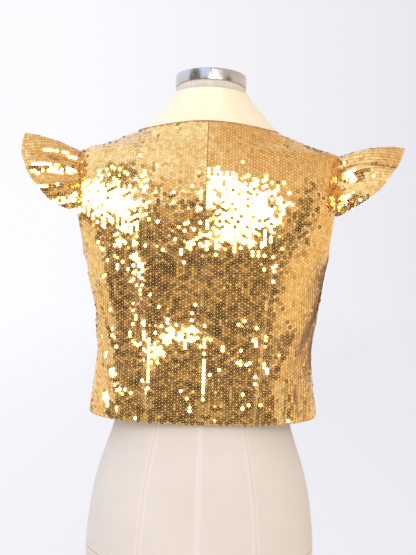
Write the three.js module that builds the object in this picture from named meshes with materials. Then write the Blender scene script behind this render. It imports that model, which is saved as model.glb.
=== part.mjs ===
// A sequinned waistcoat with flutter sleeves and a satin stand collar, on a limbless dress form.
// Millimetres, +Z up. The origin is the middle of the form's flat underside. The garment's front
// faces -Y, and the wearer's left is +X.
//
// Places on the cloth are given by turn and height. Turn is measured round the body in quarters:
// 0 at the centre back, 1 at the left side seam, 2 at the centre front, and negative on the right.
import * as THREE from 'three';

// Cloth
const PANEL_WALL = 1.8;
const COLLAR_WALL = 1.4;
const SLEEVE_WALL = 1.5;
const SEAM_GAP = 0.3;

// Heights of the main lines
const UNDERARM_HEIGHT = 542;
const SHOULDER_TIP_HEIGHT = 700;
const SIDE_NECK_HEIGHT = 734;
const BACK_NECK_RISE = 10;
const FRONT_NECK_DROP = 44;
const SIDE_HEM_HEIGHT = 300;

// Armhole: how far it cuts into the back and the front, along the cloth from the side
const ARMHOLE_BACK_DEPTH = 46;
const ARMHOLE_FRONT_DEPTH = 54;
const ARMHOLE_LOW_BIAS = 0.85;

// Collar: its top edge, round the neck
const COLLAR_TOP = { half: 56, back: 58, front: 62, sideHeight: 792, backRise: 5, frontDrop: 50 };
const COLLAR_HOLLOW = 2;
const COLLAR_ROWS = 5;

// Dress form
const REST_GAP = 0.5;
const REST_GAP_AT_CENTRES = 2.2;
const FORM_SHOULDER_START = 172;
const FORM_SHOULDER_ROUND = 14;
const FORM_COLUMNS_PER_QUARTER = 10;
const NECK_TILT = THREE.MathUtils.degToRad(10);
const NECK_TOP_HEIGHT = 799.5;

// Neck cap and its bare plate
const CAP = { radius: 54.7, height: 18.5, dome: 1.6, edge: 1.1, segments: 56 };
const PLATE = { width: 22, height: 15, wall: 0.7, across: -12, foot: 1.8, columns: 6 };

// Outer skin of the cloth, a row for each level: half width, depth behind and before the side
// seams, and the power of the ring's superellipse, where 2 is an ellipse and more is squarer.
const GARMENT_RINGS = [
  { height: 255, half: 181, back: 101, front: 118, power: 2.4 },
  { height: 300, half: 176, back: 101, front: 118, power: 2.4 },
  { height: 350, half: 169, back: 99, front: 119, power: 2.4 },
  { height: 399, half: 165.5, back: 97, front: 122, power: 2.35 },
  { height: 438, half: 168.5, back: 98, front: 128, power: 2.3 },
  { height: 484, half: 177, back: 104, front: 137, power: 2.3 },
  { height: 520, half: 184, back: 109, front: 142, power: 2.3 },
  { height: 555, half: 192, back: 111.5, front: 139, power: 2.25 },
  { height: 610, half: 207, back: 110, front: 124, power: 2.15 },
  { height: 645, half: 211, back: 106.5, front: 109, power: 2.0 },
  { height: 675, half: 208, back: 101, front: 95, power: 1.85 },
  { height: 695, half: 202.5, back: 94, front: 85, power: 1.72 },
  { height: 700, half: 200, back: 92.5, front: 82, power: 1.68 },
  { height: 704.5, half: 190, back: 90, front: 79, power: 1.62 },
  { height: 713, half: 160, back: 85, front: 72, power: 1.58 },
  { height: 725, half: 129, back: 79, front: 62, power: 1.6 },
  { height: 734, half: 107, back: 75, front: 56, power: 1.75 },
  { height: 744, half: 96, back: 70, front: 52, power: 1.9 },
  { height: 760, half: 84, back: 64, front: 50, power: 2 },
];

// Hem height by turn, the same on both sides
const HEM = [
  { turn: 0, height: 288.5 },
  { turn: 0.5, height: 289 },
  { turn: 0.85, height: 293.5 },
  { turn: 1, height: 300 },
  { turn: 1.2, height: 287 },
  { turn: 1.4, height: 270 },
  { turn: 1.6, height: 264 },
  { turn: 2, height: 262 },
];

// Heights of the panel's rows where it meets the side seam, the armhole and the shoulder seam
const ROW_HEIGHTS = [
  300, 318, 340, 362, 384, 406, 428, 450, 474, 498, 521, 542, 548, 558, 574, 593,
  612, 632, 652, 672, 688, 696, 700, 704.5, 710, 716, 722, 728, 734,
];
const SLEEVE_FIRST_ROW = 16;
const SHOULDER_TIP_ROW = 22;

// Waist darts: distance along the cloth from the centre line at the tip and at the hem
const DARTS = {
  back: { tip: 103, tipHeight: 525, hem: 82, groove: 1.4, halfWidth: 5 },
  front: { tip: 92, tipHeight: 505, hem: 84, groove: 1.4, halfWidth: 5 },
};
const COLUMNS_TO_DART = 5;
const COLUMNS_PAST_DART = 7;

// Drag lines and flutes: two ends, each a distance along the cloth from the centre back and a
// height, how far the fold stands out or sinks in, and how wide it is. Left is positive.
const FOLDS = [
  { across: 222, height: 510, acrossEnd: 141, heightEnd: 398, relief: 3.4, width: 11 },
  { across: 205, height: 478, acrossEnd: 150, heightEnd: 392, relief: -3.0, width: 9 },
  { across: 205, height: 440, acrossEnd: 131, heightEnd: 330, relief: 3.2, width: 11 },
  { across: 190, height: 400, acrossEnd: 148, heightEnd: 330, relief: -2.6, width: 10 },
  { across: -200, height: 495, acrossEnd: -112, heightEnd: 368, relief: 3.6, width: 14 },
  { across: -215, height: 455, acrossEnd: -140, heightEnd: 372, relief: -3.2, width: 12 },
  { across: -104, height: 352, acrossEnd: -112, heightEnd: 286, relief: 2.6, width: 9 },
  { across: -136, height: 358, acrossEnd: -146, heightEnd: 286, relief: 3.4, width: 10 },
  { across: -168, height: 350, acrossEnd: -178, heightEnd: 288, relief: 3.0, width: 10 },
  { across: -122, height: 345, acrossEnd: -129, heightEnd: 284, relief: -2.4, width: 9 },
  { across: -155, height: 345, acrossEnd: -163, heightEnd: 284, relief: -2.6, width: 9 },
  { across: -46, height: 610, acrossEnd: -30, heightEnd: 452, relief: 1.8, width: 24 },
  { across: 60, height: 600, acrossEnd: 42, heightEnd: 470, relief: 1.6, width: 22 },
  { across: 280, height: 500, acrossEnd: 352, heightEnd: 410, relief: 3.0, width: 13 },
  { across: 288, height: 448, acrossEnd: 350, heightEnd: 356, relief: -2.8, width: 12 },
  { across: 330, height: 350, acrossEnd: 322, heightEnd: 268, relief: 2.8, width: 13 },
  { across: -285, height: 492, acrossEnd: -356, heightEnd: 404, relief: 3.0, width: 13 },
  { across: -292, height: 436, acrossEnd: -348, heightEnd: 362, relief: -2.6, width: 12 },
  { across: -318, height: 352, acrossEnd: -326, heightEnd: 268, relief: 2.8, width: 12 },
  { across: 228, height: 618, acrossEnd: 246, heightEnd: 566, relief: 12.5, width: 28 },
  { across: 240, height: 500, acrossEnd: 228, heightEnd: 425, relief: -4.5, width: 30 },
  { across: -228, height: 608, acrossEnd: -244, heightEnd: 576, relief: 4.5, width: 26 },
  { across: -232, height: 465, acrossEnd: -228, heightEnd: 425, relief: 4, width: 24 },
];

// Free edge of each sleeve from its back end over the shoulder to its front end
const SLEEVE_EDGES = {
  left: [
    { along: 0, out: 210, depth: 44, height: 608 },
    { along: 0.08, out: 232, depth: 55, height: 618 },
    { along: 0.18, out: 255, depth: 62, height: 639 },
    { along: 0.28, out: 275, depth: 56, height: 667 },
    { along: 0.38, out: 286, depth: 38, height: 699 },
    { along: 0.47, out: 283, depth: 12, height: 726 },
    { along: 0.56, out: 278, depth: -14, height: 720 },
    { along: 0.68, out: 268, depth: -42, height: 690 },
    { along: 0.8, out: 248, depth: -56, height: 655 },
    { along: 0.91, out: 224, depth: -56, height: 627 },
    { along: 1, out: 204, depth: -50, height: 612 },
  ],
  right: [
    { along: 0, out: 203, depth: 45, height: 613 },
    { along: 0.08, out: 226, depth: 57, height: 624 },
    { along: 0.18, out: 255, depth: 64, height: 644 },
    { along: 0.28, out: 275, depth: 58, height: 668 },
    { along: 0.38, out: 289, depth: 40, height: 688 },
    { along: 0.47, out: 301, depth: 14, height: 716 },
    { along: 0.56, out: 292, depth: -14, height: 711 },
    { along: 0.68, out: 274, depth: -42, height: 683 },
    { along: 0.8, out: 252, depth: -57, height: 648 },
    { along: 0.91, out: 226, depth: -57, height: 624 },
    { along: 1, out: 204, depth: -50, height: 611 },
  ],
};
const SLEEVE_CROWN = { left: 5, right: 8 };
const SLEEVE_COLUMNS = 40;
const SLEEVE_ROWS = 7;
const SLEEVE_SEAM_CLEARANCE = 0.6;

// Gathers of a sleeve: where along the seam each starts and where it meets the free edge, its
// relief at the seam and at the free edge, and its half width as a share of the seam
const GATHERS = {
  left: [
    { seam: 0.08, edge: 0.1, atSeam: 2.0, atEdge: 3.0, width: 0.04 },
    { seam: 0.15, edge: 0.19, atSeam: -2.5, atEdge: -2.5, width: 0.035 },
    { seam: 0.22, edge: 0.25, atSeam: 3.0, atEdge: 3.5, width: 0.035 },
    { seam: 0.295, edge: 0.31, atSeam: -4.5, atEdge: -2.5, width: 0.032 },
    { seam: 0.345, edge: 0.37, atSeam: 3.5, atEdge: 3.5, width: 0.03 },
    { seam: 0.395, edge: 0.43, atSeam: -4.5, atEdge: -1.5, width: 0.03 },
    { seam: 0.49, edge: 0.49, atSeam: 1.6, atEdge: 3.0, width: 0.06 },
    { seam: 0.6, edge: 0.6, atSeam: -2.2, atEdge: -3.5, width: 0.05 },
    { seam: 0.72, edge: 0.7, atSeam: 1.6, atEdge: 4.0, width: 0.05 },
    { seam: 0.83, edge: 0.81, atSeam: -1.8, atEdge: -3.0, width: 0.05 },
  ],
  right: [
    { seam: 0.12, edge: 0.14, atSeam: -1.8, atEdge: -2.5, width: 0.045 },
    { seam: 0.21, edge: 0.22, atSeam: 2.5, atEdge: 3.5, width: 0.04 },
    { seam: 0.285, edge: 0.32, atSeam: -4.5, atEdge: -2.0, width: 0.032 },
    { seam: 0.345, edge: 0.385, atSeam: 3.5, atEdge: 3.0, width: 0.032 },
    { seam: 0.4, edge: 0.42, atSeam: -4.5, atEdge: -0.5, width: 0.03 },
    { seam: 0.47, edge: 0.48, atSeam: 2.0, atEdge: 2.5, width: 0.04 },
    { seam: 0.58, edge: 0.58, atSeam: 2.0, atEdge: -3.0, width: 0.05 },
    { seam: 0.7, edge: 0.69, atSeam: -2.0, atEdge: 3.5, width: 0.05 },
    { seam: 0.82, edge: 0.8, atSeam: 1.6, atEdge: -3.0, width: 0.05 },
  ],
};

// Linen body under the cloth, a row for each level up to the shoulders
const FORM_RINGS = [
  { height: 0, half: 171, back: 117, front: 111, power: 2.3 },
  { height: 3, half: 173, back: 119, front: 113, power: 2.3 },
  { height: 50, half: 175, back: 122, front: 116, power: 2.3 },
  { height: 95, half: 175, back: 123, front: 117, power: 2.3 },
  { height: 145, half: 171, back: 120, front: 115, power: 2.25 },
  { height: 184, half: 165, back: 115, front: 112, power: 2.2 },
  { height: 215, half: 157.5, back: 108, front: 109, power: 2.2 },
  { height: 241, half: 149, back: 101, front: 107, power: 2.2 },
  { height: 281, half: 136, back: 92, front: 105, power: 2.2 },
  { height: 330, half: 125, back: 86, front: 104, power: 2.2 },
  { height: 385, half: 122, back: 85, front: 104, power: 2.2 },
  { height: 440, half: 130, back: 88, front: 111, power: 2.2 },
  { height: 490, half: 142, back: 94, front: 122, power: 2.2 },
  { height: 535, half: 152, back: 100, front: 129, power: 2.2 },
  { height: 580, half: 161, back: 104, front: 124, power: 2.15 },
  { height: 625, half: 171, back: 104, front: 107, power: 2.05 },
  { height: 660, half: 178, back: 100, front: 92, power: 1.95 },
  { height: 682, half: 181, back: 94, front: 82, power: 1.85 },
];
const FORM_SHOULDER_HEIGHTS = [700, 704.5, 710, 716, 722, 728, 733];
const FORM_NECK_RINGS = [
  { height: 742, half: 86, back: 65, front: 50, power: 1.9, tilt: 0 },
  { height: 749, half: 73, back: 61.5, front: 49.5, power: 2, tilt: 0.05 },
  { height: 760, half: 62, back: 58, front: 50, power: 2, tilt: 0.2 },
  { height: 776, half: 55.5, back: 54.5, front: 52, power: 2, tilt: 0.55 },
  { height: 799.2, half: 53.6, back: 53.6, front: 53.6, power: 2, tilt: 1 },
];

const ARC_STEPS = 48;
const SMALL_TURN = 0.004;
const SMALL_RISE = 0.4;
const QUARTER_TURN = Math.PI / 2;

// Finishes, as seen in the photograph
const FINISHES = {
  sequins: { color: '#d9a44f', roughness: 0.3, metalness: 0.85 },
  satin: { color: '#f4e3b4', roughness: 0.4, metalness: 0 },
  linen: { color: '#e6dacb', roughness: 0.95, metalness: 0 },
  polishedMetal: { color: '#b9b4b0', roughness: 0.25, metalness: 1 },
};

// Reads one column of a table at a place between its rows, on a monotone cubic.
function readTable(rows, placeKey, valueKey, place) {
  const last = rows.length - 1;
  if (place <= rows[0][placeKey]) return rows[0][valueKey];
  if (place >= rows[last][placeKey]) return rows[last][valueKey];
  let row = 0;
  while (rows[row + 1][placeKey] < place) row += 1;
  const slope = (index) => (rows[index + 1][valueKey] - rows[index][valueKey])
    / (rows[index + 1][placeKey] - rows[index][placeKey]);
  const tangent = (index) => {
    if (index === 0) return slope(0);
    if (index === last) return slope(last - 1);
    const before = slope(index - 1);
    const after = slope(index);
    return before * after <= 0 ? 0 : 2 * before * after / (before + after);
  };
  const span = rows[row + 1][placeKey] - rows[row][placeKey];
  const t = (place - rows[row][placeKey]) / span;
  const start = rows[row][valueKey];
  const end = rows[row + 1][valueKey];
  return (2 * t ** 3 - 3 * t ** 2 + 1) * start + (t ** 3 - 2 * t ** 2 + t) * span * tangent(row)
    + (3 * t ** 2 - 2 * t ** 3) * end + (t ** 3 - t ** 2) * span * tangent(row + 1);
}

// One level of a ring table: its two quarters as polylines with their running lengths.
function makeLevel(rings, height) {
  const half = readTable(rings, 'height', 'half', height);
  const power = readTable(rings, 'height', 'power', height);
  const quarter = (depth) => {
    const points = [];
    let length = 0;
    for (let step = 0; step <= ARC_STEPS; step += 1) {
      const angle = QUARTER_TURN * step / ARC_STEPS;
      const x = half * Math.sin(angle) ** (2 / power);
      const y = depth * Math.max(0, Math.cos(angle)) ** (2 / power);
      if (step > 0) length += Math.hypot(x - points[step - 1].x, y - points[step - 1].y);
      points.push({ x, y, length });
    }
    return points;
  };
  return {
    back: quarter(readTable(rings, 'height', 'back', height)),
    front: quarter(readTable(rings, 'height', 'front', height)),
  };
}

const levelCaches = new Map();
function levelOf(rings, height) {
  if (!levelCaches.has(rings)) levelCaches.set(rings, new Map());
  const levels = levelCaches.get(rings);
  if (!levels.has(height)) levels.set(height, makeLevel(rings, height));
  return levels.get(height);
}

function quarterLength(height, isFront) {
  const level = levelOf(GARMENT_RINGS, height);
  return (isFront ? level.front : level.back)[ARC_STEPS].length;
}

// A point of a ring, at equal shares of the cloth's length in each quarter.
function ringPoint(rings, turn, height) {
  const level = levelOf(rings, height);
  const around = Math.abs(turn);
  const isFront = around > 1;
  const points = isFront ? level.front : level.back;
  const share = isFront ? 2 - around : around;
  const target = Math.min(1, Math.max(0, share)) * points[ARC_STEPS].length;
  let step = 1;
  while (step < ARC_STEPS && points[step].length < target) step += 1;
  const from = points[step - 1];
  const to = points[step];
  const t = (target - from.length) / (to.length - from.length);
  return new THREE.Vector3(
    Math.sign(turn) * (from.x + t * (to.x - from.x)),
    (isFront ? -1 : 1) * (from.y + t * (to.y - from.y)),
    height,
  );
}

// The skin's outward direction, from two short steps over it. The neck and the centre lines are
// kept inside their own side, so that left and right are mirror images.
function skinNormal(rings, turn, height) {
  const side = turn < 0 ? -1 : 1;
  const middle = Math.min(2 - SMALL_TURN, Math.max(SMALL_TURN, Math.abs(turn)));
  const before = ringPoint(rings, middle - SMALL_TURN, height);
  const after = ringPoint(rings, middle + SMALL_TURN, height);
  const below = ringPoint(rings, middle, height - SMALL_RISE);
  const above = ringPoint(rings, middle, height + SMALL_RISE);
  const normal = above.sub(below).cross(after.sub(before)).normalize();
  if (Math.abs(turn) < SMALL_TURN || Math.abs(turn) > 2 - SMALL_TURN) normal.x = 0;
  normal.x *= side;
  return normal.normalize();
}

// Distance along the cloth from the centre back, positive on the left.
function acrossAt(turn, height) {
  const around = Math.abs(turn);
  const back = quarterLength(height, false);
  const distance = around <= 1 ? around * back : back + (around - 1) * quarterLength(height, true);
  return Math.sign(turn) * distance;
}

function foldRelief(turn, height) {
  const across = acrossAt(turn, height);
  let relief = 0;
  for (const fold of FOLDS) {
    const runAcross = fold.acrossEnd - fold.across;
    const runUp = fold.heightEnd - fold.height;
    const t = ((across - fold.across) * runAcross + (height - fold.height) * runUp)
      / (runAcross ** 2 + runUp ** 2);
    const nearest = Math.min(1, Math.max(0, t));
    const off = Math.hypot(across - fold.across - nearest * runAcross,
      height - fold.height - nearest * runUp);
    const taper = 0.55 + 0.45 * Math.sin(Math.PI * nearest);
    relief += fold.relief * taper * Math.exp(-((off / fold.width) ** 2));
  }
  return relief;
}

// Turn of the dart's stitched line at a height. Above its tip the line only guides the columns.
function dartTurn(height, isFront) {
  const dart = isFront ? DARTS.front : DARTS.back;
  const t = Math.min(1, Math.max(0, (height - SIDE_HEM_HEIGHT) / (dart.tipHeight - SIDE_HEM_HEIGHT)));
  const distance = dart.hem + t * (dart.tip - dart.hem);
  const share = Math.min(0.66, distance / quarterLength(height, isFront));
  return isFront ? 2 - share : share;
}

function dartRelief(turn, height) {
  const isFront = Math.abs(turn) > 1;
  const dart = isFront ? DARTS.front : DARTS.back;
  if (height > dart.tipHeight) return 0;
  const off = Math.abs(Math.abs(turn) - dartTurn(height, isFront)) * quarterLength(height, isFront);
  const fade = Math.min(1, (dart.tipHeight - height) / 60);
  return off < dart.halfWidth ? -dart.groove * fade * (1 - off / dart.halfWidth) : 0;
}

// A point of the cloth, at a depth under its outer skin.
function clothPoint(turn, height, depth = 0) {
  const relief = foldRelief(turn, height) + dartRelief(turn, height);
  return ringPoint(GARMENT_RINGS, turn, height)
    .addScaledVector(skinNormal(GARMENT_RINGS, turn, height), relief - depth);
}

// Turn of the side seam, the armhole and the shoulder seam, which end a panel at each height.
function edgeTurn(height, isFront) {
  const halfGap = SEAM_GAP / 2 / quarterLength(height, isFront);
  let inset = halfGap;
  if (height > UNDERARM_HEIGHT && height < SHOULDER_TIP_HEIGHT) {
    const t = (height - UNDERARM_HEIGHT) / (SHOULDER_TIP_HEIGHT - UNDERARM_HEIGHT);
    const depth = isFront ? ARMHOLE_FRONT_DEPTH : ARMHOLE_BACK_DEPTH;
    const round = Math.sqrt(Math.sin(Math.PI * t ** ARMHOLE_LOW_BIAS));
    inset += depth * round / quarterLength(height, isFront);
  }
  return isFront ? 1 + inset : 1 - inset;
}

// Turn of one column of a panel. Column 0 is the centre line, and the last is the side edge.
function columnTurn(column, height, isFront) {
  const length = quarterLength(height, isFront);
  const toSide = isFront ? -1 : 1;
  const centre = isFront ? 2 - SEAM_GAP / 2 / length : SEAM_GAP / 2 / length;
  const dart = dartTurn(height, isFront);
  const dartHalf = (isFront ? DARTS.front : DARTS.back).halfWidth / length;
  const nearSide = dart - toSide * dartHalf;
  const farSide = dart + toSide * dartHalf;
  if (column <= COLUMNS_TO_DART) return centre + (nearSide - centre) * column / COLUMNS_TO_DART;
  if (column === COLUMNS_TO_DART + 1) return dart;
  const t = (column - COLUMNS_TO_DART - 2) / COLUMNS_PAST_DART;
  return farSide + (edgeTurn(height, isFront) - farSide) * t;
}

const PANEL_COLUMNS = COLUMNS_TO_DART + 2 + COLUMNS_PAST_DART;
const PANEL_ROWS = ROW_HEIGHTS.length - 1;

function neckHeight(turn) {
  const facing = Math.cos(Math.abs(turn) * QUARTER_TURN);
  const rise = Math.abs(turn) <= 1 ? BACK_NECK_RISE : -FRONT_NECK_DROP;
  return SIDE_NECK_HEIGHT + rise * facing ** 2;
}

// Turn and height of one grid point of a panel.
function panelPlace(column, row, isFront) {
  const sideHeight = ROW_HEIGHTS[row];
  const roughTurn = columnTurn(column, sideHeight, isFront);
  const share = (sideHeight - SIDE_HEM_HEIGHT) / (SIDE_NECK_HEIGHT - SIDE_HEM_HEIGHT);
  const hem = readTable(HEM, 'turn', 'height', roughTurn);
  const spread = hem + (neckHeight(roughTurn) - hem) * share;
  const toEdge = (column / PANEL_COLUMNS) ** 4;
  const height = spread + (sideHeight - spread) * toEdge;
  return { turn: columnTurn(column, height, isFront), height };
}

// A closed wall between two grids of points. The grids are given as functions of column and row.
function wall(columns, rows, outerPoint, innerPoint) {
  const positions = [];
  const indices = [];
  const perSide = (columns + 1) * (rows + 1);
  for (const pointAt of [outerPoint, innerPoint]) {
    for (let row = 0; row <= rows; row += 1) {
      for (let column = 0; column <= columns; column += 1) {
        positions.push(...pointAt(column, row).toArray());
      }
    }
  }
  const at = (column, row) => row * (columns + 1) + column;
  const addQuad = (a, b, c, d) => indices.push(a, b, c, a, c, d);
  for (let row = 0; row < rows; row += 1) {
    for (let column = 0; column < columns; column += 1) {
      const corners = [at(column, row), at(column + 1, row), at(column + 1, row + 1),
        at(column, row + 1)];
      addQuad(...corners);
      const under = corners.map((corner) => corner + perSide);
      addQuad(under[3], under[2], under[1], under[0]);
    }
  }
  const border = [];
  for (let column = 0; column < columns; column += 1) border.push(at(column, 0));
  for (let row = 0; row < rows; row += 1) border.push(at(columns, row));
  for (let column = columns; column > 0; column -= 1) border.push(at(column, rows));
  for (let row = rows; row > 0; row -= 1) border.push(at(0, row));
  border.forEach((corner, index) => {
    const next = border[(index + 1) % border.length];
    addQuad(next, corner, corner + perSide, next + perSide);
  });
  return facingOut(positions, indices);
}

// A closed solid through level rings of points, with a flat fan at each end.
function stack(rings) {
  const count = rings[0].length;
  const positions = rings.flat().flatMap((point) => point.toArray());
  const indices = [];
  for (let ring = 0; ring < rings.length - 1; ring += 1) {
    for (let index = 0; index < count; index += 1) {
      const next = (index + 1) % count;
      const low = ring * count;
      const high = low + count;
      indices.push(low + index, low + next, high + next, low + index, high + next, high + index);
    }
  }
  const addFan = (first, isTop) => {
    const middle = new THREE.Vector3();
    const ring = isTop ? rings[rings.length - 1] : rings[0];
    ring.forEach((point) => middle.addScaledVector(point, 1 / count));
    const centre = positions.length / 3;
    positions.push(...middle.toArray());
    for (let index = 0; index < count; index += 1) {
      const next = (index + 1) % count;
      if (isTop) indices.push(centre, first + index, first + next);
      else indices.push(centre, first + next, first + index);
    }
  };
  addFan(0, false);
  addFan((rings.length - 1) * count, true);
  return facingOut(positions, indices);
}

// A geometry whose faces point out, turned over where its volume comes out negative.
function facingOut(positions, indices) {
  let volume = 0;
  const corner = (index) => new THREE.Vector3().fromArray(positions, index * 3);
  for (let index = 0; index < indices.length; index += 3) {
    const [a, b, c] = [0, 1, 2].map((offset) => corner(indices[index + offset]));
    volume += a.dot(b.cross(c));
  }
  if (volume < 0) indices.reverse();
  const geometry = new THREE.BufferGeometry();
  geometry.setAttribute('position', new THREE.Float32BufferAttribute(positions, 3));
  geometry.setIndex(indices);
  geometry.computeVertexNormals();
  return geometry;
}

function namedMesh(name, geometry, finish) {
  const mesh = new THREE.Mesh(geometry, new THREE.MeshStandardMaterial(finish));
  mesh.name = name;
  return mesh;
}

function makePanel(side, isFront) {
  const pointAt = (depth) => (column, row) => {
    const { turn, height } = panelPlace(column, row, isFront);
    return clothPoint(side * turn, height, depth);
  };
  return wall(PANEL_COLUMNS, PANEL_ROWS, pointAt(0), pointAt(PANEL_WALL));
}

// The neck edge that the collar stands on: middle of the wall, from the right front round the
// back to the left front, with the direction in which the cloth runs on.
function neckEdge() {
  const half = [];
  const top = PANEL_ROWS;
  const visit = (side, column, isFront) => {
    const { turn, height } = panelPlace(column, top, isFront);
    const foot = clothPoint(side * turn, height, PANEL_WALL / 2);
    const onward = ringPoint(GARMENT_RINGS, side * turn, height + SMALL_RISE)
      .sub(ringPoint(GARMENT_RINGS, side * turn, height)).normalize();
    return { turn: side * turn, foot: foot.addScaledVector(onward, SEAM_GAP + 0.1) };
  };
  for (let column = 0; column <= PANEL_COLUMNS; column += 1) half.push([column, true]);
  for (let column = PANEL_COLUMNS; column >= 0; column -= 1) half.push([column, false]);
  const right = half.map(([column, isFront]) => visit(-1, column, isFront));
  const left = half.map(([column, isFront]) => visit(1, column, isFront)).reverse();
  return [...right, ...left];
}

function makeCollar() {
  const feet = neckEdge();
  const middle = (column, row) => {
    const { turn, foot } = feet[column];
    const angle = turn * QUARTER_TURN;
    const facing = Math.cos(angle);
    const depth = facing > 0 ? COLLAR_TOP.back : COLLAR_TOP.front;
    const top = new THREE.Vector3(
      COLLAR_TOP.half * Math.sin(angle),
      depth * facing,
      COLLAR_TOP.sideHeight + (facing > 0 ? COLLAR_TOP.backRise : -COLLAR_TOP.frontDrop) * facing ** 2,
    );
    const t = row / COLLAR_ROWS;
    const inward = new THREE.Vector3(-Math.sin(angle), -facing, 0);
    return foot.clone().lerp(top, t)
      .addScaledVector(inward, COLLAR_HOLLOW * Math.sin(Math.PI * t));
  };
  const columns = feet.length - 1;
  return thickened(columns, COLLAR_ROWS, middle, COLLAR_WALL);
}

// A wall of one thickness about a middle sheet, with the sheet's own normals.
function thickened(columns, rows, middle, thickness) {
  const points = [];
  for (let row = 0; row <= rows; row += 1) {
    points.push(Array.from({ length: columns + 1 }, (_, column) => middle(column, row)));
  }
  const normalAt = (column, row) => {
    const west = points[row][Math.max(0, column - 1)];
    const east = points[row][Math.min(columns, column + 1)];
    const south = points[Math.max(0, row - 1)][column];
    const north = points[Math.min(rows, row + 1)][column];
    return east.clone().sub(west).cross(north.clone().sub(south)).normalize();
  };
  const offset = (amount) => (column, row) => points[row][column].clone()
    .addScaledVector(normalAt(column, row), amount);
  return wall(columns, rows, offset(thickness / 2), offset(-thickness / 2));
}

// The armhole's edge where a sleeve is sewn: middle of the wall, from the back over the tip of
// the shoulder to the front, each point with the direction into the hole.
function sleeveSeam(side) {
  const seam = [];
  const visit = (row, isFront) => {
    const { turn, height } = panelPlace(PANEL_COLUMNS, row, isFront);
    const edge = clothPoint(side * turn, height, PANEL_WALL / 2);
    const inner = panelPlace(PANEL_COLUMNS - 1, row, isFront);
    const within = clothPoint(side * inner.turn, inner.height, PANEL_WALL / 2);
    const outward = new THREE.Vector3(2 * side, 0, 0);
    seam.push({ edge, onward: edge.clone().sub(within).normalize().add(outward).normalize() });
  };
  for (let row = SLEEVE_FIRST_ROW; row <= SHOULDER_TIP_ROW; row += 1) visit(row, false);
  for (let row = SHOULDER_TIP_ROW; row >= SLEEVE_FIRST_ROW; row -= 1) visit(row, true);
  const clearance = SLEEVE_WALL / 2 + SLEEVE_SEAM_CLEARANCE;
  return seam.map(({ edge, onward }) => edge.addScaledVector(onward, clearance));
}

// A point at a share of a polyline's length.
function alongPolyline(points, share) {
  const lengths = points.slice(1).map((point, index) => point.distanceTo(points[index]));
  let left = share * lengths.reduce((sum, length) => sum + length, 0);
  for (let index = 0; index < lengths.length; index += 1) {
    if (left <= lengths[index] || index === lengths.length - 1) {
      return points[index].clone().lerp(points[index + 1], Math.min(1, left / lengths[index]));
    }
    left -= lengths[index];
  }
  return points[points.length - 1].clone();
}

function makeSleeve(sideName) {
  const side = sideName === 'left' ? 1 : -1;
  const seam = sleeveSeam(side);
  const rows = SLEEVE_EDGES[sideName];
  const edgeAt = (along) => new THREE.Vector3(
    side * readTable(rows, 'along', 'out', along),
    readTable(rows, 'along', 'depth', along),
    readTable(rows, 'along', 'height', along),
  );
  const crown = SLEEVE_CROWN[sideName];
  const smooth = (along, out) => {
    const foot = alongPolyline(seam, along);
    const edge = edgeAt(along);
    const swell = 4 * out * (1 - out) * crown * Math.sin(Math.PI * along);
    return foot.lerp(edge, out).add(new THREE.Vector3(0, swell * Math.cos(Math.PI * along), swell));
  };
  const middle = (column, row) => {
    const along = column / SLEEVE_COLUMNS;
    const out = row / SLEEVE_ROWS;
    let relief = 0;
    for (const gather of GATHERS[sideName]) {
      const centre = gather.seam + (gather.edge - gather.seam) * out;
      const height = gather.atSeam * (1 - out) + gather.atEdge * out;
      relief += height * Math.exp(-(((along - centre) / gather.width) ** 2));
    }
    const step = 0.02;
    const tangentAlong = smooth(Math.min(1, along + step), out)
      .sub(smooth(Math.max(0, along - step), out));
    const tangentOut = smooth(along, Math.min(1, out + step))
      .sub(smooth(along, Math.max(0, out - step)));
    const normal = tangentOut.cross(tangentAlong).normalize().multiplyScalar(side);
    const grip = 1 - Math.exp(-out * 9);
    return smooth(along, out).addScaledVector(normal, relief * grip);
  };
  return thickened(SLEEVE_COLUMNS, SLEEVE_ROWS, middle, SLEEVE_WALL);
}

function formRing(pointAt) {
  const count = FORM_COLUMNS_PER_QUARTER * 4;
  return Array.from({ length: count }, (_, index) => pointAt(index * 4 / count - 2));
}

function makeFormBody() {
  const body = FORM_RINGS.map(({ height }) => formRing((turn) => ringPoint(FORM_RINGS, turn, height)));
  const shoulders = FORM_SHOULDER_HEIGHTS.map((height) => formRing((turn) => {
    const facing = Math.cos(turn * QUARTER_TURN) ** 2;
    const gap = REST_GAP + (REST_GAP_AT_CENTRES - REST_GAP) * facing;
    const point = ringPoint(GARMENT_RINGS, turn, height)
      .addScaledVector(skinNormal(GARMENT_RINGS, turn, height), -PANEL_WALL - gap);
    const past = Math.abs(point.x) - FORM_SHOULDER_START;
    if (past > 0) {
      const rounded = FORM_SHOULDER_ROUND * Math.tanh(past / FORM_SHOULDER_ROUND);
      point.x = Math.sign(point.x) * (FORM_SHOULDER_START + rounded);
    }
    return point;
  }));
  const neck = FORM_NECK_RINGS.map(({ height, tilt }) => formRing((turn) => {
    const point = ringPoint(FORM_NECK_RINGS, turn, height);
    point.z += tilt * point.y * Math.tan(NECK_TILT);
    return point;
  }));
  return stack([...body, ...shoulders, ...neck]);
}

function makeNeckCap() {
  const { radius, height, dome, edge } = CAP;
  const profile = [
    [0, 0], [radius - edge, 0], [radius, edge], [radius, height - edge],
    [radius - edge, height], [radius * 0.55, height + dome * 0.75], [0, height + dome],
  ].map(([x, y]) => new THREE.Vector2(x, y));
  const geometry = new THREE.LatheGeometry(profile, CAP.segments);
  geometry.rotateX(QUARTER_TURN);
  return geometry;
}

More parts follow.
